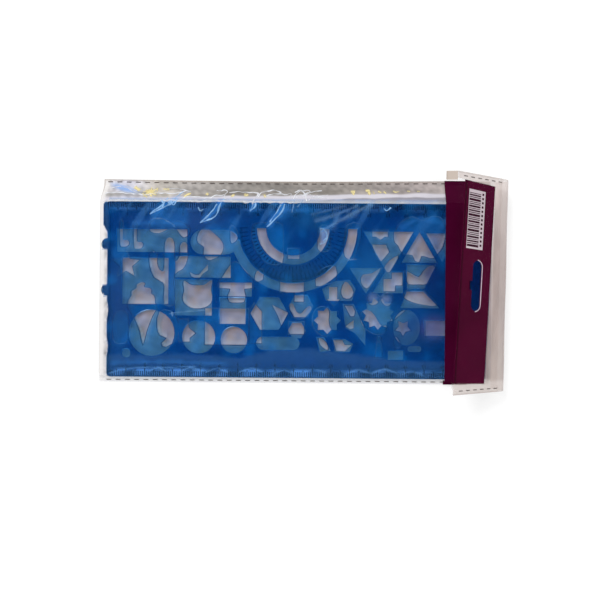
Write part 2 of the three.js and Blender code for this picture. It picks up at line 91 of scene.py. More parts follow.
# The header flap: its fold, its tilt and its own frame
FOLD_Y = -0.713
FOLD_Z = 10.15
FOLD_RADIUS = 5.0
FLAP_ANGLE = math.radians(32)
FLAP_SKEW = math.radians(0.9)
FLAP_LENGTH = 34.5
FLAP_WIDTH = 110.0
LOOSE_CORNER = 5.5
CARD_CENTRE = 20.6
CARD_SHIFT = 0.5
CARD_SKEW = math.radians(2.7)
CARD_LENGTH = 101.0
CARD_WIDTH = 21.5
CARD_LIFT = -0.65
CARD_THICKNESS = 0.4
SLOT_FROM_CENTRE = 1.1
SLOT_SHIFT = -1.3
SLOT_LENGTH = 25.4
SLOT_WIDTH = 6.4
SLOT_BUMP_WIDTH = 4.5
SLOT_BUMP_DEPTH = 2.2
SLOT_BUMP_TAPER = 0.75


def linear(red, green, blue):
    """A colour given as 0 to 255 on a screen, as linear light."""
    values = []
    for value in (red, green, blue):
        share = value / 255
        values.append(share / 12.92 if share <= 0.04045 else ((share + 0.055) / 1.055) ** 2.4)
    return tuple(values)


# Mesh helpers

FULLEST_FILM = 0.95


def mesh_piece(name, points, faces, material, smooth=True):
    """A mesh object from points in millimetres."""
    mesh = bpy.data.meshes.new(name)
    mesh.from_pydata([tuple(value * MM for value in point) for point in points], [], faces)
    mesh.update()
    piece = bpy.data.objects.new(name, mesh)
    bpy.context.scene.collection.objects.link(piece)
    mesh.materials.append(material)
    mesh.polygons.foreach_set("use_smooth", [smooth] * len(mesh.polygons))
    return piece


def flat_grid(columns, rows):
    """The x and the y of each point of a grid, row by row."""
    x, y = np.meshgrid(columns, rows)
    return x.ravel(), y.ravel()


def grid_faces(rows, columns):
    """Quads between the points of a grid, which are listed row by row."""
    faces = []
    for row in range(rows - 1):
        for column in range(columns - 1):
            corner = row * columns + column
            faces.append((corner, corner + 1, corner + columns + 1, corner + columns))
    return faces


def set_number(piece, name, values):
    """A number at each point of the piece, which its material reads."""
    attribute = piece.data.attributes.new(name, "FLOAT", "POINT")
    numbers = np.empty(len(piece.data.vertices), np.float32)
    numbers[:] = values
    attribute.data.foreach_set("value", numbers)


def set_colour(piece, name, values):
    """A colour at each point of the piece, or one for all points, which its material reads."""
    attribute = piece.data.attributes.new(name, "FLOAT_COLOR", "POINT")
    colours = np.ones((len(piece.data.vertices), 4), np.float32)
    colours[:, :3] = values
    attribute.data.foreach_set("color", colours.ravel())


def set_film(piece, haze, shade):
    """How much of its own colour a film shows, and that colour, neither of them ever full."""
    set_number(piece, "haze", np.clip(haze, 0, FULLEST_FILM))
    set_colour(piece, "shade", np.clip(shade, 0, FULLEST_FILM))


# Patterns

WAVE_COUNT = 9
WAVE_HEIGHT = 3.6
NEAR_ZERO = 0.001


def rise(value, low, high):
    """0 below low, 1 above high, and a smooth step between."""
    share = np.clip((value - low) / (high - low), 0, 1)
    return share * share * (3 - 2 * share)


def waves(x, y, scale, seed):
    """Smooth irregular waves between about -1 and 1, the same at each run."""
    rng = np.random.default_rng(seed)
    total = np.zeros_like(x)
    for _ in range(WAVE_COUNT):
        angle = rng.uniform(0, 2 * math.pi)
        length = scale * rng.uniform(0.6, 1.8)
        phase = rng.uniform(0, 2 * math.pi)
        total += np.sin((x * math.cos(angle) + y * math.sin(angle)) * 2 * math.pi / length + phase)
    return total / WAVE_HEIGHT


def spot(x, y, middle_x, middle_y, radius_x, radius_y):
    """1 at the middle of an oval spot, falling off round it."""
    return np.exp(-(((x - middle_x) / radius_x) ** 2 + ((y - middle_y) / radius_y) ** 2) ** 1.5)


def stroke(x, y, path, width):
    """1 on a line through the path's points, falling off within the width."""
    nearest = np.full_like(x, np.inf)
    for (ax, ay), (bx, by) in zip(path, path[1:]):
        dx, dy = bx - ax, by - ay
        share = np.clip(((x - ax) * dx + (y - ay) * dy) / (dx * dx + dy * dy), 0, 1)
        nearest = np.minimum(nearest, (x - ax - share * dx) ** 2 + (y - ay - share * dy) ** 2)
    return np.exp(-nearest / width ** 2)


def line_height(x, line):
    """The height of a line through points, at each x."""
    return np.interp(x, *zip(*line))


def blend_colour(colours, share, colour):
    """The colours, moved by a share towards one colour."""
    share = np.asarray(share)[:, None]
    return colours * (1 - share) + np.array(colour) * share


def lay_over(haze, shade, share, colour):
    """A film's haze and colour with a share of another colour laid over them."""
    return haze + share * (1 - haze), blend_colour(shade, share / (share + haze + NEAR_ZERO), colour)


def inside_outline(x, y, outline):
    """Which points lie inside a closed outline."""
    inside = np.zeros(len(x), bool)
    for (ax, ay), (bx, by) in zip(outline, [*outline[1:], outline[0]]):
        if ay != by:
            inside ^= ((ay > y) != (by > y)) & (x < (bx - ax) * (y - ay) / (by - ay) + ax)
    return inside


def inside_any(x, y, outlines):
    """Which points lie inside any of the closed outlines."""
    inside = np.zeros(len(x), bool)
    for outline in outlines:
        inside |= inside_outline(x, y, outline)
    return inside


# Materials


class Shading:
    """The node tree of one material, or of the world."""

    def __init__(self, owner):
        self.owner = owner
        self.owner.use_nodes = True
        self.tree = self.owner.node_tree
        self.tree.nodes.clear()

    def node(self, kind, settings=None, **inputs):
        """A node with its settings and its inputs, each a value or another node's output."""
        made = self.tree.nodes.new(kind)
        for name, value in (settings or {}).items():
            setattr(made, name, value)
        for name, value in inputs.items():
            socket = made.inputs[int(name[1:])] if name[0] == "_" else made.inputs[name.replace("_", " ")]
            if isinstance(value, bpy.types.NodeSocket):
                self.tree.links.new(value, socket)
            else:
                socket.default_value = value
        return made

    def finish(self, shader, output="ShaderNodeOutputMaterial"):
        self.tree.links.new(shader, self.node(output).inputs["Surface"])
        return self.owner

    def noise(self, scale, detail=3.0, roughness=0.5):
        place = self.node("ShaderNodeTexCoord").outputs["Object"]
        inputs = {"Vector": place, "Scale": scale, "Detail": detail, "Roughness": roughness}
        return self.node("ShaderNodeTexNoise", **inputs).outputs["Fac"]

    def spread(self, value, low, high):
        """The middle of a noise, moved to low..high."""
        inputs = {"From_Min": 0.3, "From_Max": 0.7, "To_Min": low, "To_Max": high}
        return self.node("ShaderNodeMapRange", Value=value, **inputs).outputs["Result"]

    def ramp(self, value, stops):
        """A colour between stops, each a place and a linear colour."""
        made = self.node("ShaderNodeValToRGB", Fac=value)
        elements = made.color_ramp.elements
        while len(elements) < len(stops):
            elements.new(0.5)
        for element, (place, colour) in zip(elements, stops):
            element.position = place
            element.color = (*colour, 1)
        return made.outputs["Color"]

    def bump(self, height, strength, distance):
        made = self.node("ShaderNodeBump", Height=height, Strength=strength, Distance=distance)
        return made.outputs["Normal"]

    def attribute(self, name, output):
        return self.node("ShaderNodeAttribute", {"attribute_name": name}).outputs[output]

    def combine(self, operation, first, second):
        return self.node("ShaderNodeMath", {"operation": operation}, _0=first, _1=second).outputs["Value"]

    def mix(self, share, first, second):
        return self.node("ShaderNodeMixShader", Fac=share, _1=first, _2=second).outputs["Shader"]

    def clear(self, tint):
        return self.node("ShaderNodeBsdfTransparent", Color=(*tint, 1)).outputs["BSDF"]

    def solid(self, **inputs):
        return self.node("ShaderNodeBsdfPrincipled", **inputs).outputs["BSDF"]

    def seen(self):
        """1 for rays from the camera, in reflections and through clear things, and 0 for the others."""
        path = self.node("ShaderNodeLightPath").outputs
        first = self.combine("MAXIMUM", path["Is Camera Ray"], path["Is Glossy Ray"])
        return self.combine("MAXIMUM", first, path["Is Transmission Ray"])


def stencil_material(name, tint, own, share):
    """See-through blue plastic: light takes the tint at each face, and a share shows the plastic itself."""
    shading = Shading(bpy.data.materials.new(name))
    grain = shading.noise(90)
    solid = shading.solid(
        Base_Color=shading.ramp(grain, [(0.3, tuple(0.8 * c for c in own)), (0.7, own)]),
        Roughness=shading.spread(grain, 0.14, 0.24),
        Specular_IOR_Level=0.1,
        Normal=shading.bump(shading.noise(260), 0.12, 0.0002),
    )
    return shading.finish(shading.mix(share, shading.clear(tint), solid))


def rim_material(name, dark, plain, light):
    """The moulded lip of a cut-out, with painted light and shade: a painted dark outline, plain, or a painted
    highlight, as far as its lit number says.
    """
    shading = Shading(bpy.data.materials.new(name))
    patchy = shading.spread(shading.noise(140), 0.35, 1.0)
    painted_light_share = shading.combine("MULTIPLY", shading.attribute("lit", "Fac"), patchy)
    return shading.finish(shading.solid(
        Base_Color=shading.ramp(painted_light_share, [(0.0, dark), (0.35, plain), (1.0, light)]),
        Roughness=shading.spread(shading.noise(400), 0.2, 0.35),
        Specular_IOR_Level=0.1,
    ))


def film_material(name):
    """Clear film. "haze" is how much of its own colour shows, "shade" is that colour."""
    shading = Shading(bpy.data.materials.new(name))
    solid = shading.solid(
        Base_Color=shading.attribute("shade", "Color"),
        Roughness=shading.spread(shading.noise(300), 0.27, 0.45),
        Specular_IOR_Level=0.1,
        Normal=shading.bump(shading.noise(180, 4.0), 0.25, 0.0003),
    )
    clear = shading.clear((0.985, 0.985, 0.985))
    return shading.finish(shading.mix(shading.attribute("haze", "Fac"), clear, solid))


def card_material(name, dark, light, roughness):
    """Printed card or a printed strip, with a faint paper grain."""
    shading = Shading(bpy.data.materials.new(name))
    return shading.finish(shading.solid(
        Base_Color=shading.ramp(shading.noise(45, 5.0, 0.6), [(0.3, dark), (0.7, light)]),
        Roughness=shading.spread(shading.noise(220), roughness - 0.08, roughness + 0.1),
        Specular_IOR_Level=0.03,
        Normal=shading.bump(shading.noise(900, 2.0), 0.15, 0.00008),
    ))


def ink_material(name, dark, light):
    """Flat ink, or another thin matt mark."""
    shading = Shading(bpy.data.materials.new(name))
    return shading.finish(shading.solid(
        Base_Color=shading.ramp(shading.noise(600, 4.0), [(0.35, dark), (0.65, light)]),
        Roughness=shading.spread(shading.noise(700), 0.4, 0.6),
        Specular_IOR_Level=0.05,
    ))


GEOMETRY_BLUE = stencil_material("geometry_blue", (0.33, 0.7, 0.87), (0.0, 0.17, 0.9), 0.13)
FIGURE_BLUE = stencil_material("figure_blue", (0.62, 0.86, 0.94), (0.003, 0.17, 0.8), 0.07)
# The lips' colours: a painted dark outline, their plain blue and a painted highlight
GEOMETRY_RIM = rim_material("geometry_rim", (0.0, 0.03, 0.16), (0.02, 0.12, 0.36), (0.4, 0.66, 0.98))
FIGURE_RIM = rim_material("figure_rim", (0.0, 0.012, 0.075), (0.06, 0.17, 0.34), (0.34, 0.5, 0.72))
FILM = film_material("clear_film")
BAND_PURPLE = card_material("band_purple", linear(66, 2, 37), linear(78, 5, 45), 0.35)
CARD_PURPLE = card_material("card_purple", linear(68, 0, 36), linear(82, 4, 44), 0.45)
DARK_INK = ink_material("dark_ink", (0.0, 0.002, 0.012), (0.001, 0.006, 0.03))
WELD_BROWN = ink_material("weld_brown", linear(52, 40, 38), linear(96, 84, 80))
# Painted shadow along the card's left edge
SHADE_PURPLE = card_material("shade_purple", linear(50, 0, 25), linear(58, 2, 30), 0.5)
LABEL_WHITE = card_material("label_white", linear(205, 190, 198), linear(226, 214, 220), 0.45)
LABEL_BAR = ink_material("label_bar", linear(44, 8, 28), linear(66, 22, 44))
CUT_EDGE = ink_material("cut_edge", linear(196, 170, 190), linear(232, 216, 228))


def paint(name, material):
    """Gives a node of the part one material in place of its own."""
    node = nodes[name]
    node.data.materials.clear()
    node.data.materials.append(material)
    return node


# Stencils

LEAST_MITRE = 0.6
FACING_UP = 0.9
FACING_ASIDE = 0.1
LEVEL_PLAY = 0.1


def top_outlines(name, level):
    """The closed outlines of a stencil's top face, with its plastic on their left."""
    work = bmesh.new()
    work.from_mesh(nodes[name].data)
    bmesh.ops.remove_doubles(work, verts=work.verts, dist=SAME_PLACE)
    work.normal_update()
    follows = {}
    for face in work.faces:
        if face.normal.z < FACING_UP or face.calc_center_median().z < (level - LEVEL_PLAY) * MM:
            continue
        for loop in face.loops:
            beside = [other for other in loop.edge.link_faces if other != face]
            if beside and abs(beside[0].normal.z) < FACING_ASIDE:
                follows[loop.vert] = loop.link_loop_next.vert
    outlines = []
    while follows:
        start, after = follows.popitem()
        path = [start]
        while after != start:
            path.append(after)
            after = follows.pop(after)
        outlines.append([Vector((vertex.co.x, vertex.co.y)) / MM for vertex in path])
    work.free()
    return outlines


def with_neighbours(outline):
    """Each point of a closed outline, between the one before it and the one after it."""
    return zip([outline[-1], *outline], outline, [*outline[1:], outline[0]])


def turning_points(outline):
    """The outline without the points that lie on a straight stretch."""
    return [
        here for before, here, after in with_neighbours(outline)
        if (here - before).angle(after - here) > STRAIGHT
    ]


def rim_of(outline):
    """For each point of an outline, the point and the way from it into the plastic."""
    rim = []
    for before, here, after in with_neighbours(outline):
        into = (here - before).normalized()
        out = (after - here).normalized()
        first = Vector((-into.y, into.x))
        second = Vector((-out.y, out.x))
        middle = (first + second).normalized()
        rim.append((here, middle / max(middle.dot(second), LEAST_MITRE)))
    return rim


def stencil_rims(name, outlines, level, material, body, width, glint):
    """The low moulded lip round each cut-out and along the stencil's edge."""
    points, faces, lit, plain = [], [], [], []
    section = [(0.0, 0.0), (0.0, RIM_HEIGHT), (0.6 * width, RIM_HEIGHT), (width, 0.0)]
    for outline in outlines:
        rim = rim_of(turning_points(outline))
        start = len(points)
        count = len(rim) * len(section)
        for i, (here, inward) in enumerate(rim):
            facing = inward.normalized()
            for k, (reach, height) in enumerate(section):
                place = here + inward * reach
                points.append((place.x, place.y, level + height))
                lit.append(min(1.0, max(0.0, (facing.y - 0.1) / 0.6)))
                plain.append(1 - abs(facing.x) ** 2)
                if k:
                    here_up = i * len(section) + k
                    next_up = (here_up + len(section)) % count
                    face = (here_up - 1, here_up, next_up, (next_up - 1) % count)
                    faces.append(tuple(start + corner for corner in face))
    piece = mesh_piece(name, points, faces, material, smooth=False)
    x, y = np.array([point[:2] for point in points]).T
    # Painted highlight on the lips where the plastic lies towards +y, at the upper edges of the cut-outs;
    # painted dark outline where a lip faces left or right
    glow = np.array(lit) * np.clip(glint * (0.65 + 0.8 * waves(x, y, 13, 71)), 0, 1)
    soft = np.clip(0.75 * np.array(plain) + 0.6 * waves(x, y, 17, 75), 0, 1)
    set_number(piece, "lit", np.maximum(glow, 0.42 * soft))
    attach(piece, body)


def edge_and_holes(outlines):
    """A stencil's outer edge and the outlines of its cut-outs."""
    edge = min(outlines, key=lambda outline: min(point.x for point in outline))
    return edge, [outline for outline in outlines if outline is not edge]


FIGURE_OUTLINES = top_outlines("figure_template", FIGURE_TOP)
GEOMETRY_OUTLINES = top_outlines("geometry_template", GEOMETRY_TOP)
FIGURE_EDGE, FIGURE_HOLES = edge_and_holes(FIGURE_OUTLINES)
GEOMETRY_EDGE, GEOMETRY_HOLES = edge_and_holes(GEOMETRY_OUTLINES)

paint("geometry_template", GEOMETRY_BLUE)
paint("figure_template", FIGURE_BLUE)
stencil_rims(
    "geometry_rims", GEOMETRY_OUTLINES, GEOMETRY_TOP, GEOMETRY_RIM, "lower_stencil", width=0.34, glint=0.95
)
stencil_rims("figure_rims", FIGURE_OUTLINES, FIGURE_TOP, FIGURE_RIM, "upper_stencil", width=0.3, glint=0.3)


# Prints on the stencils


class Marks:
    """Flat printed marks gathered into one mesh."""

    def __init__(self, level):
        self.level = level
        self.points = []
        self.faces = []

    def bar(self, x, y, angle, near, far, width):
        """A bar from near to far away from a point, in a direction given as an angle in radians."""
        along = Vector((math.cos(angle), math.sin(angle)))
        side = Vector((-along.y, along.x)) * width / 2
        start = Vector((x, y)) + along * near
        end = Vector((x, y)) + along * far
        first = len(self.points)
        for corner in (start - side, end - side, end + side, start + side):
            self.points.append((corner.x, corner.y, self.level))
        self.faces.append(tuple(range(first, first + 4)))

    def number(self, text, x, y, size, turn=0.0):
        """Plain numerals, centred on a point and mirrored, since the stencils lie face down."""
        curve = bpy.data.curves.new("numeral", "FONT")
        curve.body = text
        curve.size = size
        curve.align_x = "CENTER"
        curve.align_y = "CENTER"
        curve.resolution_u = 2
        shape = bpy.data.objects.new("numeral", curve)
        mesh = bpy.data.meshes.new_from_object(shape)
        start = len(self.points)
        for vertex in mesh.vertices:
            across = -vertex.co.x
            up = vertex.co.y
            self.points.append((
                x + across * math.cos(turn) - up * math.sin(turn),
                y + across * math.sin(turn) + up * math.cos(turn),
                self.level,
            ))
        self.faces += [tuple(start + i for i in polygon.vertices) for polygon in mesh.polygons]
        bpy.data.objects.remove(shape)
        bpy.data.curves.remove(curve)
        bpy.data.meshes.remove(mesh)

    def piece(self, name, material, body):
        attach(mesh_piece(name, self.points, self.faces, material, smooth=False), body)


SCALE_LENGTH = 200
SCALE_START = 0.4
TICK_WIDTH = 0.46
TICK_START = 0.3
TICK_LENGTHS = {10: 4.9, 5: 4.1, 1: 3.2}
NUMBER_SIZE = 2.6
NUMBER_GAP = 1.5
SHEEN_BLUE = (0.09, 0.33, 0.95)
SHEEN_STEP = 0.6
SHEEN_DEPTH = 6.0


def edge_scale(marks, edge_y, inward):
    """Millimetre ticks and centimetre numbers along one long edge."""
    for step in range(SCALE_LENGTH + 1):
        length = next(TICK_LENGTHS[every] for every in TICK_LENGTHS if step % every == 0)
        x = STENCIL_X + SCALE_START + step
        marks.bar(x, edge_y, inward * math.pi / 2, TICK_START, length, TICK_WIDTH)
        if step % 10 == 0 and 0 < step < SCALE_LENGTH:
            marks.number(str(step // 10), x, edge_y + inward * (TICK_LENGTHS[10] + NUMBER_GAP), NUMBER_SIZE)


def scales(name, level, body):
    """The scales along both long edges of a stencil."""
    marks = Marks(level + PRINT_LIFT)
    edge_scale(marks, STENCIL_Y, 1)
    edge_scale(marks, STENCIL_HIGH, -1)
    marks.piece(name, DARK_INK, body)


def scale_sheen(name, edge_y, inward, strength, seed):
    """The bright blue light under the ticks of one scale of the upper stencil."""
    columns = np.arange(SHEEN_STEP, STENCIL_LENGTH - SHEEN_STEP, SHEEN_STEP)
    rows = np.linspace(TICK_START, SHEEN_DEPTH, 14)
    x, inner = flat_grid(columns, rows)
    x = x + STENCIL_X
    y = edge_y + inward * inner
    glow = np.clip(0.5 + 0.6 * waves(x, y, 15, seed), 0.08, 1) * (1 - 0.6 * rise(x, 0.0, 70.0))
    glow *= rise(inner, TICK_START, 1.0) * (1 - rise(inner, 3.4, 5.6))
    points = list(zip(x, y, np.full(len(x), FIGURE_TOP + PRINT_LIFT / 2)))
    piece = mesh_piece(name, points, grid_faces(len(rows), len(columns)), FILM)
    set_film(piece, strength * glow, SHEEN_BLUE)
    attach(piece, "upper_stencil")


scale_sheen("lower_scale_sheen", STENCIL_Y, 1, 0.75, 81)
scale_sheen("upper_scale_sheen", STENCIL_HIGH, -1, 0.3, 84)
scales("figure_scales", FIGURE_TOP, "upper_stencil")
scales("geometry_scales", GEOMETRY_TOP, "lower_stencil")

PROTRACTOR_CENTRE = (-4.207, 29.387)
PROTRACTOR_INNER = 20.4
PROTRACTOR_OUTER = 29.0
PROTRACTOR_EDGE = 0.2

# Degree marks on the outer edge, each a length and a width
LONG_TICK = (4.6, 0.5)
SHORT_TICK = (1.7, 0.22)
MIDDLE_MARK = (7.0, 0.35)
INNER_TICK_END = 2.0
DEGREE_MIDDLE = PROTRACTOR_INNER + 3.1
DEGREE_SIZE = 1.9


def protractor_marks():
    """Degree ticks on the half ring, with a number every twenty degrees."""
    marks = Marks(GEOMETRY_TOP + PRINT_LIFT)
    x, y = PROTRACTOR_CENTRE
    for degree in range(0, 181):
        angle = math.radians(-degree)
        reach, width = LONG_TICK if degree % 5 == 0 else SHORT_TICK
        marks.bar(x, y, angle, PROTRACTOR_OUTER - reach, PROTRACTOR_OUTER - PROTRACTOR_EDGE, width)
        if degree % 5 == 0:
            near, far = PROTRACTOR_INNER + PROTRACTOR_EDGE, PROTRACTOR_INNER + INNER_TICK_END
            marks.bar(x, y, angle, near, far, TICK_WIDTH)
        if degree % 20 == 0 and 0 < degree < 180:
            number_x = x + DEGREE_MIDDLE * math.cos(angle)
            number_y = y + DEGREE_MIDDLE * math.sin(angle)
            marks.number(str(degree), number_x, number_y, DEGREE_SIZE, angle + math.pi / 2)
    reach, width = MIDDLE_MARK
    marks.bar(x, y, -math.pi / 2, PROTRACTOR_OUTER - reach, PROTRACTOR_OUTER, width)
    marks.piece("protractor_marks", DARK_INK, "lower_stencil")


protractor_marks()


# Films

# Colours of the painted highlights, glints and gloss on the film
COOL = (0.33, 0.62, 1.0)
WHITE = (0.92, 0.94, 1.0)
WARM = (1.0, 0.86, 0.42)
BRIGHT_BLUE = (0.04, 0.28, 0.85)
GLOSS_BLUE = (0.15, 0.42, 0.95)

# Colours of the upper film over the stencils
FILM_BLUE = (0.01, 0.27, 0.86)
STREAK_BLUE = (0.12, 0.4, 0.9)
CONTACT_BLUE = (0.13, 0.4, 0.8)
MOTTLE_LIGHT = (0.002, 0.23, 0.78)
MOTTLE_DARK = (0.0, 0.03, 0.18)
# Painted shade under the flap and near the band
PAINTED_SHADE_BLUE = (0.0, 0.012, 0.15)

# Colours of the upper film outside the stencils
# Painted shade in the hollows of the wrinkles
HOLLOW_SHADE_BROWN = linear(112, 106, 96)
# Painted shade along a crease
WEDGE_SHADE_BROWN = linear(138, 134, 122)
FOOT_GREY = linear(150, 148, 163)
STRIP_WHITE = linear(234, 231, 243)
# A painted pale blue glint
GLINT_PATCH_BLUE = linear(140, 182, 244)
LOW_SIDE_WHITE = linear(250, 250, 255)
END_WHITE = linear(250, 247, 246)
# Painted shade along the film's edges
FILM_EDGE_SHADE = linear(160, 142, 126)

# Colours of the film under the stencils, seen in their openings: grey for the painted shade under the
# stencils, a beige tone, a painted shadow below each opening's upper edge and painted light above its lower
# edge
STENCIL_SHADE_GREY = linear(150, 149, 168)
OPEN_BEIGE = linear(164, 142, 126)
OPEN_SHADOW = linear(146, 112, 96)
OPEN_GLOW = linear(206, 208, 224)

# Painted highlights along crease lines of the upper film, each a path, a width and a strength
COOL_HIGHLIGHTS = [
    ([(-71.3, 44.9), (-73.9, 41.5), (-76.6, 39.3), (-79.0, 37.7), (-80.8, 36.1)], 0.3, 0.9),
    ([(-67.0, 43.7), (-69.6, 41.7), (-72.8, 40.2), (-77.6, 37.7), (-80.8, 36.1)], 0.26, 0.85),
    ([(-63.3, 49.1), (-65.9, 46.4), (-69.1, 43.7), (-70.7, 41.7), (-72.3, 40.4)], 0.28, 0.75),
    ([(-75.0, 43.6), (-73.7, 41.7), (-74.4, 39.9)], 0.4, 0.8),
    ([(-71.2, 42.0), (-69.9, 43.3), (-68.2, 41.2), (-66.4, 44.7)], 0.28, 0.8),
    ([(-42.9, 42.5), (-43.9, 40.1), (-44.8, 37.1), (-47.1, 34.4), (-50.8, 32.8), (-54.0, 31.5)], 0.3, 0.9),
    ([(-45.0, 41.7), (-46.8, 38.8), (-49.3, 36.1), (-52.4, 33.1), (-54.0, 31.5)], 0.28, 0.8),
    ([(-41.3, 44.6), (-42.6, 42.8), (-43.6, 40.1)], 0.28, 0.7),
    ([(-24.2, 42.4), (-24.9, 40.3), (-27.4, 38.1)], 0.3, 0.85),
    ([(-25.8, 41.9), (-26.3, 40.1), (-27.4, 38.1)], 0.26, 0.7),
    ([(-8.7, 42.3), (-9.7, 39.4), (-11.5, 36.4), (-15.0, 32.9), (-18.2, 29.7)], 0.3, 0.85),
    ([(-10.8, 41.8), (-12.6, 38.6), (-14.5, 35.6), (-16.8, 32.3)], 0.28, 0.75),
    ([(-55.2, 40.0), (-53.9, 38.2), (-52.5, 39.0)], 0.3, 0.5),
    ([(-80.8, 33.4), (-75.4, 33.7), (-71.1, 32.2), (-67.4, 29.6)], 0.26, 0.16),
    ([(-70.2, -17.3), (-67.5, -16.8), (-59.0, -15.8), (-49.3, -15.0)], 0.24, 0.16),
    ([(-68.8, -16.2), (-68.4, -18.4)], 0.3, 0.25),
    ([(44.3, 40.0), (45.7, 38.9), (48.0, 40.6)], 0.28, 0.85),
    ([(10.2, 29.4), (12.8, 28.1), (14.1, 25.1), (12.9, 21.9), (10.0, 20.8)], 0.3, 0.55),
    ([(11.8, 22.4), (13.9, 24.1)], 0.4, 0.7),
    ([(24.7, 12.6), (30.1, 12.7)], 0.26, 0.22),
    ([(-3.6, 44.3), (-4.3, 41.0), (-4.9, 37.6)], 0.22, 0.35),
    ([(-2.0, 40.3), (-0.4, 42.4), (0.9, 44.0)], 0.22, 0.4),
]
WHITE_HIGHLIGHTS = [
    ([
        (-105.2, 47.4), (-101.2, 47.7), (-97.0, 47.9), (-91.1, 47.2), (-85.2, 46.5), (-80.9, 47.0),
        (-76.6, 47.6), (-72.4, 47.6), (-67.8, 47.9), (-64.3, 48.7), (-61.7, 49.8),
    ], 0.3, 0.85),
    ([
        (-63.5, 44.8), (-61.6, 45.5), (-59.5, 45.9), (-54.7, 45.6), (-49.3, 45.2), (-47.2, 46.3),
        (-45.6, 47.1), (-43.5, 46.9), (-41.6, 47.6),
    ], 0.3, 0.8),
    ([
        (-45.6, 49.7), (-43.5, 49.4), (-41.9, 50.0), (-40.5, 49.8), (-39.7, 48.7), (-40.8, 47.1),
        (-41.0, 44.6),
    ], 0.28, 0.8),
    ([
        (-38.7, 48.7), (-34.9, 49.3), (-30.1, 49.0), (-25.6, 48.8), (-23.2, 48.3), (-24.2, 45.7),
        (-26.3, 41.9),
    ], 0.28, 0.8),
    ([
        (-23.1, 45.7), (-22.1, 47.5), (-20.8, 48.9), (-17.8, 49.8), (-14.9, 50.2), (-12.5, 49.8),
        (-10.9, 48.7),
    ], 0.28, 0.8),
    ([
        (-19.6, 46.2), (-16.7, 47.5), (-13.5, 48.2), (-10.3, 47.7), (-7.7, 47.4), (-5.5, 48.2),
        (-6.0, 45.0),
    ], 0.28, 0.75),
    ([(-3.4, 49.0), (-1.3, 50.3), (0.9, 50.1), (2.0, 47.5), (3.1, 43.8)], 0.28, 0.75),
    ([
        (-2.8, 45.3), (-0.7, 47.5), (1.4, 46.7), (4.1, 48.0), (7.3, 45.9), (10.5, 46.2), (13.8, 45.4),
    ], 0.28, 0.75),
    ([
        (-106.0, 42.8), (-96.9, 43.4), (-86.2, 43.3), (-72.9, 43.6), (-54.1, 43.3), (-32.7, 43.2),
        (-0.7, 43.0),
    ], 0.35, 0.55),
    ([(-4.3, 44.9), (-1.0, 49.7), (3.7, 50.4), (5.0, 49.0)], 0.24, 0.8),
    ([(0.4, 45.7), (3.0, 48.4), (7.7, 49.7), (11.1, 50.0)], 0.24, 0.8),
    ([(3.8, 44.3), (7.1, 46.4), (11.1, 46.8), (14.4, 47.4)], 0.24, 0.75),
    ([(-73.4, 50.2), (-69.2, 50.9), (-64.9, 50.3), (-61.7, 49.8), (-59.5, 48.9)], 0.28, 0.6),
    ([(-102.3, 50.6), (-98.1, 51.5), (-93.8, 50.8), (-89.5, 48.5), (-85.2, 46.5)], 0.28, 0.6),
]
WARM_GLINTS = [
    ([(-90.0, 51.5), (-88.4, 50.4), (-86.8, 49.4)], 0.7, 0.85),
    ([(-80.7, 50.8), (-80.9, 48.9), (-80.7, 45.7)], 0.45, 0.9),
    ([(-84.6, 45.9), (-81.4, 48.0), (-78.0, 50.2)], 0.45, 0.9),
    ([(-83.8, 48.9), (-80.9, 47.8), (-77.7, 46.5)], 0.45, 0.9),
    ([(-85.2, 47.3), (-82.5, 45.1)], 0.4, 0.8),
    ([(-77.7, 51.1), (-77.4, 48.7)], 0.4, 0.7),
    ([(-74.5, 50.6), (-72.9, 50.3), (-71.1, 50.3)], 0.5, 0.8),
    ([(-62.7, 45.6), (-61.1, 47.0), (-59.2, 47.8)], 0.55, 0.9),
    ([(-51.0, 47.8), (-49.9, 46.8)], 0.6, 0.85),
    ([(-37.1, 47.1), (-36.2, 46.1)], 0.6, 0.8),
    ([(-30.1, 48.0), (-29.9, 46.7), (-28.5, 47.2)], 0.45, 0.85),
    ([(-20.0, 47.6), (-19.1, 45.7)], 0.6, 0.85),
    ([(26.6, 49.8), (28.9, 49.4)], 0.6, 0.85),
    ([(27.6, 48.9), (28.4, 47.6)], 0.4, 0.7),
    ([(34.6, 50.3), (36.9, 50.5)], 0.4, 0.85),
    ([(36.2, 49.9), (36.8, 47.6)], 0.4, 0.8),
    ([(38.6, 50.0), (39.4, 48.2)], 0.45, 0.8),
    ([(41.4, 50.1), (43.0, 49.0)], 0.45, 0.85),
    ([(44.4, 49.9), (45.6, 48.6)], 0.45, 0.8),
    ([(49.5, 50.3), (50.6, 49.5), (52.7, 49.9)], 0.4, 0.7),
    ([(57.0, 50.2), (58.6, 49.9)], 0.4, 0.7),
    ([(62.4, 50.0), (64.0, 50.1)], 0.4, 0.6),
]
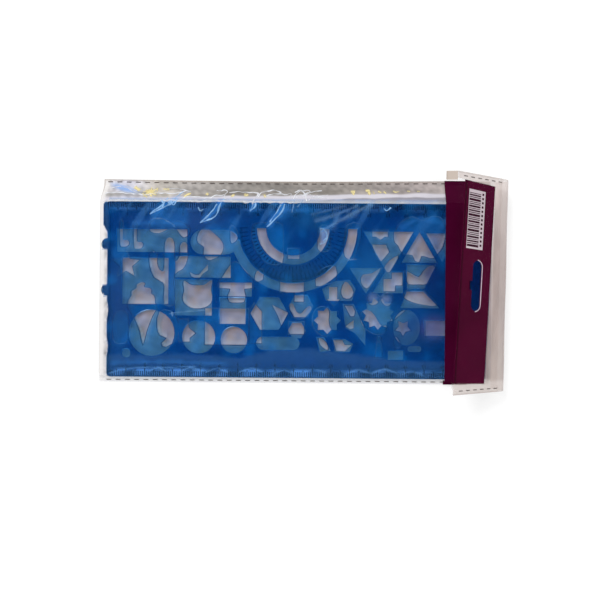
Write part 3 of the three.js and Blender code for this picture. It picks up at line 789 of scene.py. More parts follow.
# Painted soft blue highlights, pale reflection bands and gloss arcs above the lower scale, each a path, a
# width and a strength
SOFT_BLUES = [
    ([(-69.5, 43.5), (-73.0, 40.8), (-79.5, 37.0)], 1.6, 0.5),
    ([(-65.0, 46.0), (-69.0, 42.5)], 1.3, 0.4),
    ([(-43.3, 42.5), (-45.5, 38.5), (-52.0, 32.8)], 1.5, 0.55),
    ([(-25.0, 42.0), (-27.0, 38.6)], 1.1, 0.4),
    ([(-9.8, 42.0), (-13.0, 36.6), (-17.5, 31.0)], 1.5, 0.5),
    ([(2.0, 39.0), (-6.0, 38.5), (-16.0, 36.5)], 2.4, 0.25),
    ([(44.0, 39.6), (48.0, 40.0)], 1.2, 0.25),
    ([(12.0, 27.5), (12.2, 22.5)], 1.6, 0.3),
    ([(-90.0, 31.0), (-76.0, 31.6), (-64.0, 31.0)], 1.5, 0.22),
    ([(54.0, 30.0), (62.0, 34.5), (74.0, 33.5)], 1.6, 0.2),
    ([(-100.0, -43.5), (-70.0, -43.0), (-40.0, -43.6)], 1.1, 0.2),
]
SOFT_BANDS = [
    ([(37.3, 42.4), (26.1, 36.5), (10.7, 27.8)], 1.2, 0.24),
    ([(29.8, 41.3), (19.7, 36.9), (8.5, 33.1)], 0.9, 0.17),
    ([(23.4, 41.3), (15.4, 39.0), (5.8, 36.8)], 0.7, 0.11),
]
SCALE_GLOSS = [
    ([
        (-101.5, -49.1), (-95.1, -47.3), (-88.1, -46.1), (-80.1, -45.7), (-74.7, -46.2),
        (-66.7, -45.6), (-56.0, -45.2),
    ], 0.35, 0.35),
    ([(-81.1, -47.9), (-75.8, -45.9), (-71.5, -47.8)], 0.4, 0.4),
    ([(-65.1, -48.3), (-58.7, -45.8), (-52.3, -47.6)], 0.4, 0.4),
    ([(-50.1, -48.1), (-44.3, -46.0), (-38.9, -48.0)], 0.4, 0.4),
    ([(-32.5, -48.0), (-25.6, -45.8), (-19.7, -47.9)], 0.4, 0.35),
    ([(-14.8, -48.9), (-8.4, -46.7), (-2.0, -48.8)], 0.35, 0.3),
    ([(1.2, -48.2), (7.6, -46.0), (14.0, -48.1)], 0.35, 0.3),
    ([(24.2, -48.6), (31.1, -46.2), (37.0, -47.9)], 0.4, 0.35),
    ([(38.1, -48.4), (45.0, -45.7), (52.0, -47.8)], 0.4, 0.4),
    ([(54.1, -48.8), (59.5, -46.7), (65.4, -48.7)], 0.35, 0.3),
]

# The way that the film's soft streaks run
STREAK_ANGLE = math.radians(235)

# The dark sheets under the stencils' left edges
EDGE_SHADE_STEP = 0.25
EDGE_SHADE_REACH = 0.35
EDGE_SHADE_DROP = 0.06
EDGE_SHADE_HAZE = 0.93
EDGE_SHADE_BLUE = (0.012, 0.04, 0.13)

# Soft coloured veils on the upper film: middle, half sizes, strength and colour
VEILS = [
    (60.4, -20.5, 6.0, 7.5, 0.42, (0.0, 0.05, 0.3)),
    (56.0, -30.0, 14.0, 6.0, 0.3, (0.01, 0.08, 0.3)),
    (72.0, -23.5, 7.0, 6.0, 0.42, (0.13, 0.07, 0.2)),
    (70.0, 29.0, 9.0, 7.0, 0.16, (0.02, 0.25, 0.8)),
    (-12.0, 24.0, 7.0, 8.0, 0.16, (0.0, 0.22, 0.75)),
    (-3.0, 4.5, 17.0, 7.5, 0.22, (0.02, 0.12, 0.22)),
    (6.0, 34.0, 14.0, 6.0, 0.2, (0.01, 0.13, 0.3)),
    (46.0, -17.0, 12.0, 8.0, 0.12, (0.02, 0.3, 0.75)),
    (38.0, 8.0, 10.0, 14.0, 0.14, (0.03, 0.32, 0.8)),
    (-60.0, 33.0, 22.0, 7.0, 0.13, (0.08, 0.2, 0.55)),
    (-97.0, -12.0, 7.0, 26.0, 0.12, (0.08, 0.2, 0.42)),
    (-68.5, -3.5, 2.2, 9.0, 0.12, (0.15, 0.4, 0.75)),
    (38.8, -7.8, 2.5, 2.2, 0.3, (0.3, 0.32, 0.42)),
    (45.6, -8.5, 2.6, 2.2, 0.36, (0.3, 0.32, 0.42)),
]

# Where the upper film comes down onto the stencils, near their lower scale
CONTACT_LINE = [
    (-104.0, -38.5), (-60.0, -38.0), (-32.0, -40.2), (-13.0, -35.2), (6.0, -34.8), (21.0, -36.3),
    (52.0, -40.8), (80.0, -41.0), (100.0, -42.0),
]

# Colours of the upper film's long margin, from the folded end to the mouth
MARGIN_STOPS = [
    (-108.0, linear(216, 210, 208)),
    (-94.0, linear(206, 206, 222)),
    (-78.0, linear(214, 206, 196)),
    (-62.0, linear(176, 170, 166)),
    (-26.0, linear(138, 132, 126)),
    (26.0, linear(148, 140, 134)),
    (64.0, linear(176, 164, 162)),
    (102.0, linear(196, 186, 182)),
]

# The bright strip of film above the stencils: the line along its top and the one along its foot
STRIP_TOP = [(-108, 44.6), (-60, 45.8), (0, 47.0), (60, 48.4), (102, 48.8)]
STRIP_FOOT = [(-108, 43.1), (0, 43.1), (28, 45.4), (60, 46.3), (102, 46.5)]

# A crease with painted shade along it, and a painted pale blue glint spot, near the pouch's upper left corner
WEDGE = [(-105.5, 46.6), (-88.0, 47.8), (-72.0, 46.6)]
PATCH_X = -96.0
PATCH_Y = 50.6
PATCH_SLOPE = 0.3

# Where the long margin starts, and where the film draws in at its upper edge and at its corner
MARGIN_LOW = 43.0
MARGIN_HIGH = 45.5
SAG_LOW = 44.0
CORNER_LOW = 42.0
CORNER_HIGH = 54.0
CORNER_LENGTH = 14.0
CORNER_DRAW = 2.0

UPPER_FILM_STEP = 0.45
UPPER_FILM_ROWS = [(-40.0, 0.6), (18.0, 1.5), (55.0, 0.45), (POUCH_HIGH - FILM_INSET, 0.45)]
LOWER_FILM_STEP = 0.6


def graded(low, stretches):
    """Steps upward from low, in stretches with an end and a step length each."""
    values = []
    start = low
    for end, step in stretches:
        count = max(1, round((end - start) / step))
        values += list(np.linspace(start, end, count, endpoint=False))
        start = end
    return np.array([*values, start])


def film_sag(x):
    """How far the film's upper edge draws in along the pouch."""
    share = (x - POUCH_LEFT) / (POUCH_RIGHT - POUCH_LEFT)
    return 0.5 - 0.45 * share + 0.7 * np.sin(math.pi * np.minimum(1.15 * share, 1))


def sagged(x, y):
    """The y of points of a film, drawn in at the pouch's upper edge."""
    return y - film_sag(x) * rise(y, SAG_LOW, POUCH_HIGH)


def drawn_in(x, y):
    """Points of a film, drawn in at the pouch's upper edge and at its upper left corner."""
    near_end = 1 - rise(x, POUCH_LEFT, POUCH_LEFT + CORNER_LENGTH)
    x = x + CORNER_DRAW * rise(y, CORNER_LOW, CORNER_HIGH) * near_end
    return x, sagged(x, y)


def film_height(x, y):
    """How high the upper film lies."""
    slope = rise(y, POUCH_LOW + WELD_MARGIN, STENCIL_Y + 0.5)
    slope *= 1 - rise(y, STENCIL_HIGH + 1.0, POUCH_HIGH - WELD_MARGIN)
    slope *= np.sqrt(np.clip((x - POUCH_LEFT) / 4.0, 0.02, 1))
    z = SEAM_Z + (CROWN_Z - SEAM_Z) * slope + 0.22 * slope * waves(x, y, 26, 4)
    return z + 0.3 * rise(y, MARGIN_LOW, MARGIN_HIGH) * slope * waves(x, y * 2.0, 11, 9)


def over_stencils(x, y):
    """Haze and colour of the upper film where it lies over the stencils."""
    haze = np.clip(0.038 + 0.02 * waves(x, y, 34, 2), 0.0, 1)
    ahead = x * math.cos(STREAK_ANGLE) + y * math.sin(STREAK_ANGLE)
    aside = x * math.sin(STREAK_ANGLE) - y * math.cos(STREAK_ANGLE)
    streaky = np.clip(waves(aside * 2.6, ahead * 0.5, 16, 51), 0, 1) ** 2 * rise(y, 14.0, 40.0)
    haze += 0.16 * streaky
    shade = blend_colour(np.array(FILM_BLUE), 0.7 * streaky, STREAK_BLUE)

    below_contact = line_height(x, CONTACT_LINE) - y
    low_band = rise(below_contact, -0.4, 1.2) * rise(y, STENCIL_Y - 1, STENCIL_Y + 1)
    haze = haze * (1 - low_band) + 0.12 * low_band * (1 - 0.25 * rise(below_contact, 2.0, 9.0))
    shade = blend_colour(shade, low_band, CONTACT_BLUE)

    mottle = (waves(x, y, 19, 61) + 0.5 * waves(x, y, 8, 62)) * (1 - 0.85 * low_band)
    haze, shade = lay_over(haze, shade, 0.16 * np.clip(mottle, 0, 1.2) ** 1.5, MOTTLE_LIGHT)
    haze, shade = lay_over(haze, shade, 0.15 * np.clip(-mottle, 0, 1.2) ** 1.5, MOTTLE_DARK)

    # Painted shadow of the flap on the film under it, and a painted shade spot near the band
    flap_shadow = rise(x, BAND_END, BAND_END + 1.0) * rise(y, STENCIL_Y, STENCIL_Y + 1)
    flap_shadow *= 1 - rise(y, 42.0, 43.0)
    shade_spot = 0.55 * spot(x, y, 74.0, 3.0, 8.5, 19.0) * (0.75 + 0.25 * waves(x, y, 12, 23))
    haze, shade = lay_over(haze, shade, np.maximum(shade_spot, 0.6 * flap_shadow), PAINTED_SHADE_BLUE)
    for middle_x, middle_y, radius_x, radius_y, strength, colour in VEILS:
        veil = strength * spot(x, y, middle_x, middle_y, radius_x, radius_y)
        haze, shade = lay_over(haze, shade, veil, colour)
    return haze, shade


def margin_colours(x, y, low_side):
    """Colours of the upper film outside the stencils: its long margins and its folded end, with painted shade
    in the wrinkles' hollows and along a crease, and a painted glint.
    """
    strip_top = line_height(x, STRIP_TOP) + 0.4 * waves(x, y * 0, 18, 33)
    strip_foot = line_height(x, STRIP_FOOT) + 0.25 * waves(x, y * 0, 14, 35)
    above_foot = rise(y - strip_foot, -0.3, 0.4)
    strip = above_foot * (1 - rise(y - strip_top, -0.8, 0.5))
    below_strip = rise(x, 4.0, 28.0) * (1 - above_foot)
    # Painted shade in the hollows of the wrinkles along the upper margin
    hollow_shade = np.clip(waves(x, y * 5.0, 30, 17), 0, 1) * rise(y, 45.0, 46.5) * (1 - rise(y, 50.0, 51.5))
    # A painted pale blue glint spot near the upper left corner
    glint_patch = spot(x, y + PATCH_SLOPE * (x - PATCH_X), PATCH_X, PATCH_Y, 8.0, 1.9)
    left_side = 1 - rise(x, STENCIL_X - 2.5, STENCIL_X - 0.5)

    tone = 1 + 0.2 * waves(x, y * 4.0, 22, 7) + 0.16 * waves(x, y * 1.5, 5, 3) + 0.07 * waves(x, y, 2.4, 6)
    places = [place for place, _ in MARGIN_STOPS]
    channels = zip(*(colour for _, colour in MARGIN_STOPS))
    colours = np.stack([np.interp(x, places, channel) for channel in channels], 1) * tone[:, None]
    for share, colour in (
        (0.65 * hollow_shade, HOLLOW_SHADE_BROWN),
        (0.6 * stroke(x, y, WEDGE, 1.0), WEDGE_SHADE_BROWN),
        (0.85 * below_strip, FOOT_GREY),
        (0.85 * strip, STRIP_WHITE),
        (0.95 * glint_patch, GLINT_PATCH_BLUE),
        (0.9 * low_side, LOW_SIDE_WHITE),
        (0.85 * left_side, END_WHITE),
    ):
        colours = blend_colour(colours, share, colour)
    return colours


def upper_film():
    """The wrinkled film over the stencils, welded down along its long sides."""
    columns = np.arange(POUCH_LEFT + FILM_INSET, POUCH_RIGHT, UPPER_FILM_STEP)
    rows = graded(POUCH_LOW + FILM_INSET, UPPER_FILM_ROWS)
    x, y = flat_grid(columns, rows)
    z = film_height(x, y)
    haze, shade = over_stencils(x, y)

    low_side = rise(-y, 48.0, 52.0)
    beyond = ~inside_outline(x, y, FIGURE_EDGE) & (x < STENCIL_X + 1)
    margin = np.maximum(np.maximum(rise(y, MARGIN_LOW, MARGIN_HIGH), rise(-y, 50.6, 52.0)), beyond)
    shade = shade * (1 - margin[:, None]) + margin_colours(x, y, low_side) * margin[:, None]
    haze = haze * (1 - margin) + (0.86 - 0.56 * low_side) * margin

    # Painted shade along the film's free edges, away from the low side
    left_edge = POUCH_LEFT - 0.4 + 0.4 * rise(y, CORNER_LOW, CORNER_HIGH)
    edge = np.minimum(np.minimum(x - left_edge, POUCH_HIGH - y), y - POUCH_LOW)
    shade = blend_colour(shade, 0.65 * (1 - rise(edge, 0.2, 1.1)) * (1 - low_side), FILM_EDGE_SHADE)

    flicker = waves(x, y, 5, 41)
    thickness = np.clip(1 + 0.55 * waves(x, y, 9, 43), 0.5, 1.8)
    # Painted soft reflections: pale bands, soft blue highlights and gloss arcs
    for streaks, colour in ((SOFT_BANDS, COOL), (SOFT_BLUES, BRIGHT_BLUE), (SCALE_GLOSS, GLOSS_BLUE)):
        for path, width, strength in streaks:
            share = strength * stroke(x, y, path, width * thickness) * (0.9 + 0.15 * flicker)
            haze, shade = lay_over(haze, shade, share, colour)

    x, y = drawn_in(x, y)
    piece = mesh_piece("upper_film", list(zip(x, y, z)), grid_faces(len(rows), len(columns)), FILM)
    set_film(piece, haze, shade)
    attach(piece, "pouch")
    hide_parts("pouch_upper_sheet")


def edge_shade(name, outline, level, body):
    """A dark sheet under a stencil's left edge, where the light is lost between its faces."""
    columns = np.arange(STENCIL_X - 3.0, STENCIL_X + 1.2, EDGE_SHADE_STEP)
    rows = np.arange(STENCIL_Y, STENCIL_HIGH + 0.5, EDGE_SHADE_STEP)
    x, y = flat_grid(columns, rows)
    inside = inside_outline(x + EDGE_SHADE_REACH, y, outline)
    faces = [face for face in grid_faces(len(rows), len(columns)) if all(inside[i] for i in face)]
    used = sorted({i for face in faces for i in face})
    place = {old: new for new, old in enumerate(used)}
    points = [(x[i], y[i], level - STENCIL_THICKNESS - EDGE_SHADE_DROP) for i in used]
    piece = mesh_piece(name, points, [tuple(place[i] for i in face) for face in faces], FILM)
    set_film(piece, EDGE_SHADE_HAZE, EDGE_SHADE_BLUE)
    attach(piece, body)


def depth_below(open_cells, step):
    """How far each open cell of a grid lies from the closed cell before it, row by row."""
    depth = np.zeros(open_cells.shape)
    for row in range(1, len(open_cells)):
        depth[row] = np.where(open_cells[row], depth[row - 1] + step, 0)
    return depth


def lower_film():
    """The film under the stencils, grey within their outline as painted shade under them."""
    columns = np.arange(POUCH_LEFT + FILM_INSET, POUCH_RIGHT, LOWER_FILM_STEP)
    rows = np.arange(POUCH_LOW + FILM_INSET, POUCH_HIGH, LOWER_FILM_STEP)
    x, y = flat_grid(columns, rows)
    z = LOWER_FILM_Z + 0.08 * waves(x, y, 30, 12)
    inside = rise(x, STENCIL_X - 0.6, STENCIL_X + 0.4) * rise(y, STENCIL_Y - 0.5, STENCIL_Y + 1.0)
    inside *= 1 - rise(y, STENCIL_HIGH - 1.0, STENCIL_HIGH + 0.5)
    tone = 1 + 0.22 * waves(x, y, 15, 5) + 0.14 * waves(x, y * 1.6, 7, 8)
    shade = np.array(STENCIL_SHADE_GREY) * tone[:, None]
    warm = 0.35 + 0.65 * waves(x, y, 12, 21)
    shade = blend_colour(shade, 0.6 * np.clip(warm, 0, 1), OPEN_BEIGE)
    open_cells = inside_any(x, y, GEOMETRY_HOLES) & inside_any(x, y, FIGURE_HOLES)
    open_cells = open_cells.reshape(len(rows), -1)
    from_top = depth_below(open_cells[::-1], LOWER_FILM_STEP)[::-1].ravel()
    from_low = depth_below(open_cells, LOWER_FILM_STEP).ravel()
    # Painted shadow below each opening's upper edge, and painted light above its lower edge
    shade = blend_colour(shade, 0.6 * np.exp(-(from_top / 2.4) ** 2) * (from_top > 0), OPEN_SHADOW)
    shade = blend_colour(shade, 0.55 * np.exp(-(from_low / 2.6) ** 2) * (from_low > 0), OPEN_GLOW)
    x, y = drawn_in(x, y)
    piece = mesh_piece("lower_film", list(zip(x, y, z)), grid_faces(len(rows), len(columns)), FILM)
    # Within the stencils' outline the film's grey is painted shade under them
    set_film(piece, 0.12 + 0.83 * inside, shade)
    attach(piece, "pouch")
    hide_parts("pouch_lower_sheet")


# Painted highlights on the upper film's crease lines

BURST_X = -81.0
BURST_Y = 48.6
BURST_RAYS = 11
BURST_START = 20
BURST_RAY = (0.3, 0.95)
RIBBON_SECTION = [(-1.0, 0.0), (-0.45, 0.75), (0.0, 1.0), (0.45, 0.75), (1.0, 0.0)]
RIBBON_STEP = 0.5
RIBBON_LIFT = 0.12
FULLEST_HIGHLIGHT = 0.97


def starburst():
    """Short rays round the brightest warm glint."""
    rays = []
    for i in range(BURST_RAYS):
        angle = math.radians(BURST_START + i * 360 / BURST_RAYS)
        reach = 1.8 + 1.5 * ((i * 4) % BURST_RAYS) / BURST_RAYS
        tip = (BURST_X + reach * 1.3 * math.cos(angle), BURST_Y + reach * math.sin(angle))
        rays.append(([(BURST_X, BURST_Y), tip], *BURST_RAY))
    return rays


def crease_line(path):
    """Points along a smooth curve through the path's points."""
    corners = [Vector(place) for place in path]
    ends = [2 * corners[0] - corners[1], *corners, 2 * corners[-1] - corners[-2]]
    line = []
    for a, b, c, d in zip(ends, ends[1:], ends[2:], ends[3:]):
        count = max(1, round((c - b).length / RIBBON_STEP))
        for i in range(count):
            t = i / count
            straight = 2 * b + (c - a) * t
            bend = (2 * a - 5 * b + 4 * c - d) * t ** 2
            twist = (3 * b - a - 3 * c + d) * t ** 3
            line.append(0.5 * (straight + bend + twist))
    return [*line, corners[-1]]


def creases(name, streaks, colour, unevenness):
    """Painted highlights along sharp crease lines of the upper film, each an uneven ribbon that fades at its
    sides.
    """
    places, faces, strengths = [], [], []
    for path, width, strength in streaks:
        line = crease_line(path)
        x, y = np.array(line).T
        sway = unevenness * waves(x, y, 4.0, 91)
        thick = width * np.clip(1.6 + 0.8 * waves(x, y, 6.0, 92), 0.9, 2.6)
        glow = strength * np.clip(1.0 + 0.35 * waves(x, y, 5.0, 93), 0.45, 1.15)
        first = len(places)
        for i, here in enumerate(line):
            along = (line[min(i + 1, len(line) - 1)] - line[max(i - 1, 0)]).normalized()
            side = Vector((-along.y, along.x))
            for reach, share in RIBBON_SECTION:
                places.append(here + side * (sway[i] + reach * thick[i]))
                strengths.append(share * glow[i])
        for face in grid_faces(len(line), len(RIBBON_SECTION)):
            faces.append(tuple(first + corner for corner in face))
    x, y = np.array(places).T
    z = film_height(x, y) + RIBBON_LIFT
    piece = mesh_piece(name, list(zip(x, sagged(x, y), z)), faces, FILM)
    set_number(piece, "haze", np.clip(strengths, 0, FULLEST_HIGHLIGHT))
    set_colour(piece, "shade", colour)
    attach(piece, "pouch")


upper_film()
lower_film()
edge_shade("figure_edge_shade", FIGURE_EDGE, FIGURE_TOP, "upper_stencil")
edge_shade("geometry_edge_shade", GEOMETRY_EDGE, GEOMETRY_TOP, "lower_stencil")
creases("cool_crease_highlights", COOL_HIGHLIGHTS, COOL, 0.12)
creases("white_crease_highlights", WHITE_HIGHLIGHTS, WHITE, 0.3)
creases("warm_glints", WARM_GLINTS + starburst(), WARM, 0.05)


# The header flap

FLAP_HALF = FLAP_WIDTH / 2
FLAP_STEP = 0.5
CORNER_STEP = 0.25
FOLD_STEPS = 24
LEAF_STEPS = 70
SLOT_STEPS = 16
SLOT_PLAY = 0.25
OFF_THE_SLOT = 50.0
POCKET_START = -1.5
POCKET_EDGE_Z = -0.4
POCKET_DEPTH = 0.9
FLAP_BEIGE = linear(192, 171, 165)
UPPER_BEIGE = linear(218, 201, 195)
LOWER_BEIGE = linear(202, 184, 176)
WELD_BEIGE = linear(240, 226, 220)
FLAP_RIM_BROWN = linear(146, 124, 110)
# Painted shadow of the flap on its loose corner
FLAP_SHADOW_BEIGE = linear(196, 178, 164)
CORNER_BROWN = linear(150, 128, 112)

# Added to the end of a range, so that the end itself is in it
END_OF_RANGE = 0.01

LEAF = (
    Matrix.Translation((POUCH_RIGHT, FOLD_Y, FOLD_Z))
    @ Matrix.Rotation(-FLAP_SKEW, 4, "Z")
    @ Matrix.Translation((FOLD_RADIUS * math.sin(FLAP_ANGLE), 0, FOLD_RADIUS * math.cos(FLAP_ANGLE)))
    @ Matrix.Rotation(FLAP_ANGLE, 4, "Y")
)
CARD = (
    LEAF
    @ Matrix.Translation((-CARD_CENTRE, CARD_SHIFT, CARD_LIFT))
    @ Matrix.Rotation(-CARD_SKEW, 4, "Z")
)


def half_circle(x, y, radius, start):
    """Points on half a circle round x and y, counter-clockwise from an angle in radians."""
    angles = [start + math.pi * i / SLOT_STEPS for i in range(SLOT_STEPS + 1)]
    return [(x + radius * math.cos(angle), y + radius * math.sin(angle)) for angle in angles]


def slot_outline(play):
    """The hang slot in the card's frame, counter-clockwise."""
    half = SLOT_LENGTH / 2 + play
    radius = SLOT_WIDTH / 2 + play
    bump = SLOT_BUMP_WIDTH / 2 + play
    side = SLOT_FROM_CENTRE - radius
    tip = side - SLOT_BUMP_DEPTH
    points = half_circle(SLOT_FROM_CENTRE, SLOT_SHIFT + half - radius, radius, 0.0)
    points += [(side, SLOT_SHIFT + bump), (tip, SLOT_SHIFT + bump * SLOT_BUMP_TAPER)]
    points += [(tip, SLOT_SHIFT - bump * SLOT_BUMP_TAPER), (side, SLOT_SHIFT - bump)]
    return points + half_circle(SLOT_FROM_CENTRE, SLOT_SHIFT - half + radius, radius, math.pi)


def to_card(length, width):
    """Points of the flap, given in its own frame, in the card's frame."""
    x, y = length + CARD_CENTRE, width - CARD_SHIFT
    c, s = math.cos(CARD_SKEW), math.sin(CARD_SKEW)
    return x * c - y * s, x * s + y * c


def cut_slot(piece, lengths, widths):
    """Deletes the faces over the hang slot."""
    inside = inside_outline(*to_card(lengths, widths), slot_outline(SLOT_PLAY))
    work = bmesh.new()
    work.from_mesh(piece.data)
    work.faces.ensure_lookup_table()
    doomed = [face for face in work.faces if any(inside[v.index] for v in face.verts)]
    bmesh.ops.delete(work, geom=doomed, context="FACES")
    work.to_mesh(piece.data)
    work.free()


def flap_look(length, width, full_haze):
    """Haze and colour of the flap's film: beige, pale at its welds, dark at its rims, clear over the card."""
    side = np.minimum(width + FLAP_HALF, FLAP_HALF - width)
    shade = blend_colour(np.array(FLAP_BEIGE), rise(width, 10.0, FLAP_HALF - 8.0), UPPER_BEIGE)
    shade = blend_colour(shade, rise(-width, 10.0, FLAP_HALF - 8.0), LOWER_BEIGE)
    tone = 1 + 0.07 * waves(length * 2.5, width * 0.4, 14, 31) + 0.05 * waves(length, width, 9, 32)
    shade = shade * tone[:, None]
    shade = blend_colour(shade, 0.7 * rise(side, 7.0, 2.0 + WELD_MARGIN), WELD_BEIGE)
    shade = blend_colour(shade, 0.5 * (1 - rise(side, 0.2, 1.2)), FLAP_RIM_BROWN)
    across, along = to_card(length, width)
    over_card = 1 - rise(across, CARD_WIDTH / 2 - 0.5, CARD_WIDTH / 2 + 0.3)
    over_card *= 1 - rise(np.abs(along), CARD_LENGTH / 2 - 0.4, CARD_LENGTH / 2 + 0.4)
    return full_haze * (1 - 0.996 * over_card), shade


def fold_section():
    """The flap's main film from the side: round the fold, then straight to the free edge."""
    turn = math.pi - FLAP_ANGLE
    section = []
    for i in range(FOLD_STEPS + 1):
        angle = math.pi / 2 - turn + turn * i / FOLD_STEPS
        section.append((FOLD_RADIUS * math.cos(angle), -FOLD_RADIUS + FOLD_RADIUS * math.sin(angle)))
    return section + [(-FLAP_LENGTH * i / LEAF_STEPS, 0.0) for i in range(1, LEAF_STEPS + 1)]


def outer_film():
    """The flap's main film, from the pouch's mouth round the fold to the free edge."""
    section = fold_section()
    across = np.arange(-FLAP_HALF, FLAP_HALF + END_OF_RANGE, FLAP_STEP)
    widths, lengths = flat_grid(across, [length for length, _ in section])
    points, levels = [], []
    travelled = 0.0
    for i, (length, height) in enumerate(section):
        if i:
            travelled += math.hypot(length - section[i - 1][0], height - section[i - 1][1])
        ripple = 0.12 * math.sin(travelled * 0.8)
        for width in across:
            levels.append(height + ripple * math.sin(width * 0.13 + 1.0))
            points.append(LEAF @ Vector((length, width, levels[-1])))
    piece = mesh_piece("flap_outer_film", points, grid_faces(len(section), len(across)), FILM)
    set_film(piece, *flap_look(lengths, widths, 0.55))
    cut_slot(piece, np.where(np.array(levels) > -0.5, lengths, OFF_THE_SLOT), widths)
    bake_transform(piece)
    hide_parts("flap_outer_sheet")


def inner_film():
    """The pocket's second film, under the card."""
    weld = FLAP_HALF - WELD_MARGIN
    along = np.arange(-FLAP_LENGTH, POCKET_START + END_OF_RANGE, FLAP_STEP)
    across = np.arange(-FLAP_HALF, FLAP_HALF + END_OF_RANGE, FLAP_STEP)
    widths, lengths = flat_grid(across, along)
    depths = POCKET_EDGE_Z - POCKET_DEPTH * (1 - rise(np.abs(widths), weld - 1.2, weld + 0.2))
    points = [LEAF @ Vector(place) for place in zip(lengths, widths, depths)]
    piece = mesh_piece("flap_inner_film", points, grid_faces(len(along), len(across)), FILM)
    set_film(piece, *flap_look(lengths, widths, 0.35))
    cut_slot(piece, lengths, widths)
    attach(piece, "flap")
    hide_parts("flap_inner_sheet")


def loose_corner():
    """The corner of the pocket's second film that reaches past the flap's free edge."""
    across = np.arange(50.0, FLAP_HALF + END_OF_RANGE, CORNER_STEP)
    shares = np.linspace(0, 1, 12)
    widths, past = flat_grid(across, shares)
    points = []
    for share, width, far in zip(past, widths, LOOSE_CORNER * rise(widths, 48.0, 51.0)):
        edge = LEAF @ Vector((-FLAP_LENGTH, width, POCKET_EDGE_Z))
        points.append(edge - Vector((share * far, 0, 0.1 * share * far)))
    piece = mesh_piece("flap_loose_corner", points, grid_faces(len(shares), len(across)), FILM)
    # The corner's beige is painted shadow of the flap, browner towards its far edge
    shade = blend_colour(np.array(FLAP_SHADOW_BEIGE), 0.5 * rise(past, 0.8, 1.0), CORNER_BROWN)
    set_film(piece, 0.85 * rise(widths, 50.2, 51.0), shade)
    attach(piece, "flap")


outer_film()
inner_film()
loose_corner()


# The header card and the band

SHEET_BEVEL = 0.06
LABEL_LEFT = -7.8
LABEL_RIGHT = 3.9
LABEL_LOW = 16.9
LABEL_HIGH = 46.5
LABEL_LIFT = CARD_THICKNESS / 2 + 0.04
PRINTED_LIFT = LABEL_LIFT + 0.03
BAR_WIDTHS = (1.15, 0.4, 0.75, 0.35, 0.95, 0.5, 0.4)
BAR_GAP = 0.45
DOT_COUNT = 13
DOT_PITCH = 2.15


def dress_sheet(name, material):
    """A card or band node with its thin edges rounded."""
    bevel = paint(name, material).modifiers.new("edge", "BEVEL")
    bevel.width = SHEET_BEVEL * MM
    bevel.segments = 2
    bevel.limit_method = "ANGLE"
    bevel.angle_limit = math.radians(50)


def flat_patches(name, place, quads, lift, material, body):
    """Flat rectangles in the card's or the flap's frame, each with its left, low, right and high side."""
    points = []
    for left, low, right, high in quads:
        for x, y in ((left, low), (right, low), (right, high), (left, high)):
            points.append(place @ Vector((x, y, lift)))
    faces = [tuple(range(start, start + 4)) for start in range(0, len(points), 4)]
    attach(mesh_piece(name, points, faces, material, smooth=False), body)


def label_bars():
    """Plain bars in an even rhythm of thick and thin on the label, and a row of plain dots beside them."""
    quads = []
    y = LABEL_LOW + 1.0
    while y < LABEL_HIGH - 1.4:
        width = BAR_WIDTHS[len(quads) % len(BAR_WIDTHS)]
        quads.append((LABEL_LEFT + 0.3, y, LABEL_RIGHT - 3.2, y + width))
        y += width + BAR_GAP
    for i in range(DOT_COUNT):
        y = LABEL_LOW + 1.6 + DOT_PITCH * i
        quads.append((LABEL_RIGHT - 2.3, y, LABEL_RIGHT - 1.0, y + 1.1))
    flat_patches("card_label_bars", CARD, quads, PRINTED_LIFT, LABEL_BAR, "card")


def slot_edge():
    """The pale cut edge of the card along the slot's side nearest the fold."""
    path = [point for point in slot_outline(0.0) if point[0] > SLOT_FROM_CENTRE - 0.5]
    path.sort(key=lambda point: point[1] >= SLOT_SHIFT)
    points = []
    for x, y in path:
        out = Vector((x - SLOT_FROM_CENTRE, 0.25 * (y - SLOT_SHIFT) / (SLOT_LENGTH / 2))).normalized() * 0.55
        points.append(CARD @ Vector((x, y, LABEL_LIFT)))
        points.append(CARD @ Vector((x + out.x, y + out.y, LABEL_LIFT)))
    faces = [(i, i + 1, i + 3, i + 2) for i in range(0, len(points) - 2, 2)]
    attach(mesh_piece("slot_edge", points, faces, CUT_EDGE, smooth=False), "card")


LABEL = (LABEL_LEFT, LABEL_LOW, LABEL_RIGHT, LABEL_HIGH)
# A painted shadow strip along the card's free left edge
CARD_EDGE_SHADE = (0.15 - CARD_WIDTH / 2, 0.3 - CARD_LENGTH / 2, 1.3 - CARD_WIDTH / 2, CARD_LENGTH / 2 - 0.3)

dress_sheet("header_card", CARD_PURPLE)
dress_sheet("mouth_band", BAND_PURPLE)
flat_patches("card_label", CARD, [LABEL], LABEL_LIFT, LABEL_WHITE, "card")
label_bars()
flat_patches("card_shadow_strip", CARD, [CARD_EDGE_SHADE], LABEL_LIFT, SHADE_PURPLE, "card")
slot_edge()


# Weld dashes

DASH_PITCH = 5.0
DASH_HALF = 1.3
DASH_WIDTH = 0.4
DASH_LIFT = 0.25
POUCH_DASHES = 41
POUCH_DASH_START = 5.4
UPPER_DASH_INSET = 1.4
LOWER_DASH_INSET = 1.3
FLAP_DASHES = 6
FLAP_DASH_START = 5.0
FLAP_DASH_INSET = 2.0
FLAP_DASH_LIFT = 0.2


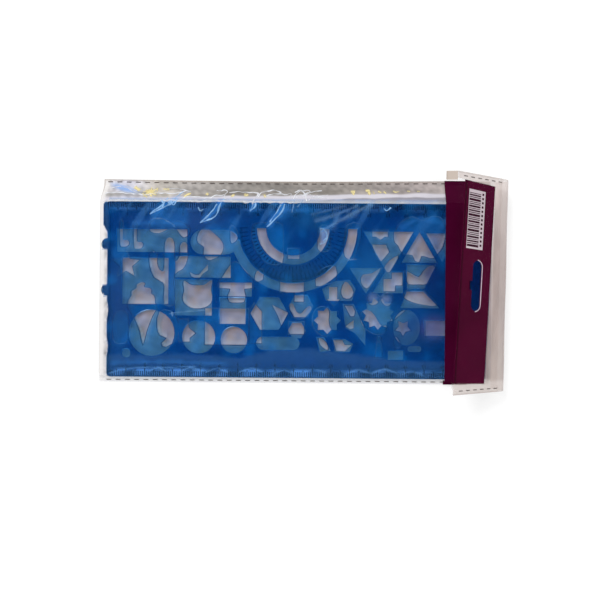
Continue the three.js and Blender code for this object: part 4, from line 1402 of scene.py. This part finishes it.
def pouch_dashes():
    """The dashes in the weld along both long sides of the pouch."""
    marks = Marks(SEAM_Z + DASH_LIFT)
    for y, sags in ((POUCH_HIGH - UPPER_DASH_INSET, 1), (POUCH_LOW + LOWER_DASH_INSET, 0)):
        for i in range(POUCH_DASHES):
            x = POUCH_LEFT + POUCH_DASH_START + DASH_PITCH * i
            marks.bar(x, y - sags * float(film_sag(x)), 0.0, -DASH_HALF, DASH_HALF, DASH_WIDTH)
    marks.piece("pouch_weld_dashes", WELD_BROWN, "pouch")


def flap_dashes():
    """The dashes in the weld at both ends of the flap."""
    quads = []
    for width in (FLAP_HALF - FLAP_DASH_INSET, FLAP_DASH_INSET - FLAP_HALF):
        for i in range(FLAP_DASHES):
            length = -FLAP_LENGTH + FLAP_DASH_START + DASH_PITCH * i
            low, high = width - DASH_WIDTH / 2, width + DASH_WIDTH / 2
            quads.append((length - DASH_HALF, low, length + DASH_HALF, high))
    flat_patches("flap_weld_dashes", LEAF, quads, FLAP_DASH_LIFT, WELD_BROWN, "flap")


pouch_dashes()
flap_dashes()


# Floor, light and camera

FLOOR_HALF = 1500.0
FLOOR_DROP = 0.2
FLOOR_GREY = (0.55, 0.55, 0.55)
FLOOR_GLOW = 0.55
SKY_LIGHT = 0.7
CAMERA_HEIGHT = 332.5
CAMERA_X = -0.2065
CAMERA_Y = -9.213
CAMERA_TURN = math.radians(0.5)
LENS = 36.83
SENSOR = 36.0


def floor_material():
    """A white floor that keeps the object's shadow."""
    shading = Shading(bpy.data.materials.new("floor_white"))
    glow = shading.node("ShaderNodeEmission", Color=(1, 1, 1, 1), Strength=FLOOR_GLOW).outputs["Emission"]
    off = shading.node("ShaderNodeEmission", Color=(0, 0, 0, 1), Strength=0.0).outputs["Emission"]
    matt = shading.node("ShaderNodeBsdfDiffuse", Color=(*FLOOR_GREY, 1)).outputs["BSDF"]
    lift = shading.mix(shading.seen(), off, glow)
    return shading.finish(shading.node("ShaderNodeAddShader", _0=matt, _1=lift).outputs["Shader"])


def floor():
    corners = [(x * FLOOR_HALF, y * FLOOR_HALF, 0) for x, y in ((-1, -1), (1, -1), (1, 1), (-1, 1))]
    piece = mesh_piece("floor", corners, [(0, 1, 2, 3)], floor_material(), smooth=False)
    piece.location.z = -FLOOR_DROP * MM


def world():
    """White to the camera and in reflections, and soft light on the object."""
    shading = Shading(bpy.data.worlds.new("studio"))
    light, white = (
        shading.node("ShaderNodeBackground", Color=(1, 1, 1, 1), Strength=strength).outputs["Background"]
        for strength in (SKY_LIGHT, 1.0)
    )
    mixed = shading.mix(shading.seen(), light, white)
    bpy.context.scene.world = shading.finish(mixed, "ShaderNodeOutputWorld")


def sun(name, direction, strength, angle):
    """A soft lamp that shines along a direction."""
    lamp = bpy.data.lights.new(name, "SUN")
    lamp.energy = strength
    lamp.angle = math.radians(angle)
    piece = bpy.data.objects.new(name, lamp)
    piece.rotation_euler = Vector(direction).to_track_quat("-Z", "Y").to_euler()
    bpy.context.scene.collection.objects.link(piece)


def camera():
    """The camera straight above the pouch."""
    lens = bpy.data.cameras.new("camera")
    lens.lens = LENS
    lens.sensor_width = SENSOR
    lens.clip_start = 0.01
    lens.clip_end = 10.0
    piece = bpy.data.objects.new("camera", lens)
    piece.location = (CAMERA_X * MM, CAMERA_Y * MM, CAMERA_HEIGHT * MM)
    piece.rotation_euler = (0, 0, CAMERA_TURN)
    bpy.context.scene.collection.objects.link(piece)
    bpy.context.scene.camera = piece


floor()
world()
sun("key", (0.55, -0.6, -1.0), 1.1, 14)
camera()
bpy.context.scene.view_settings.view_transform = "Standard"
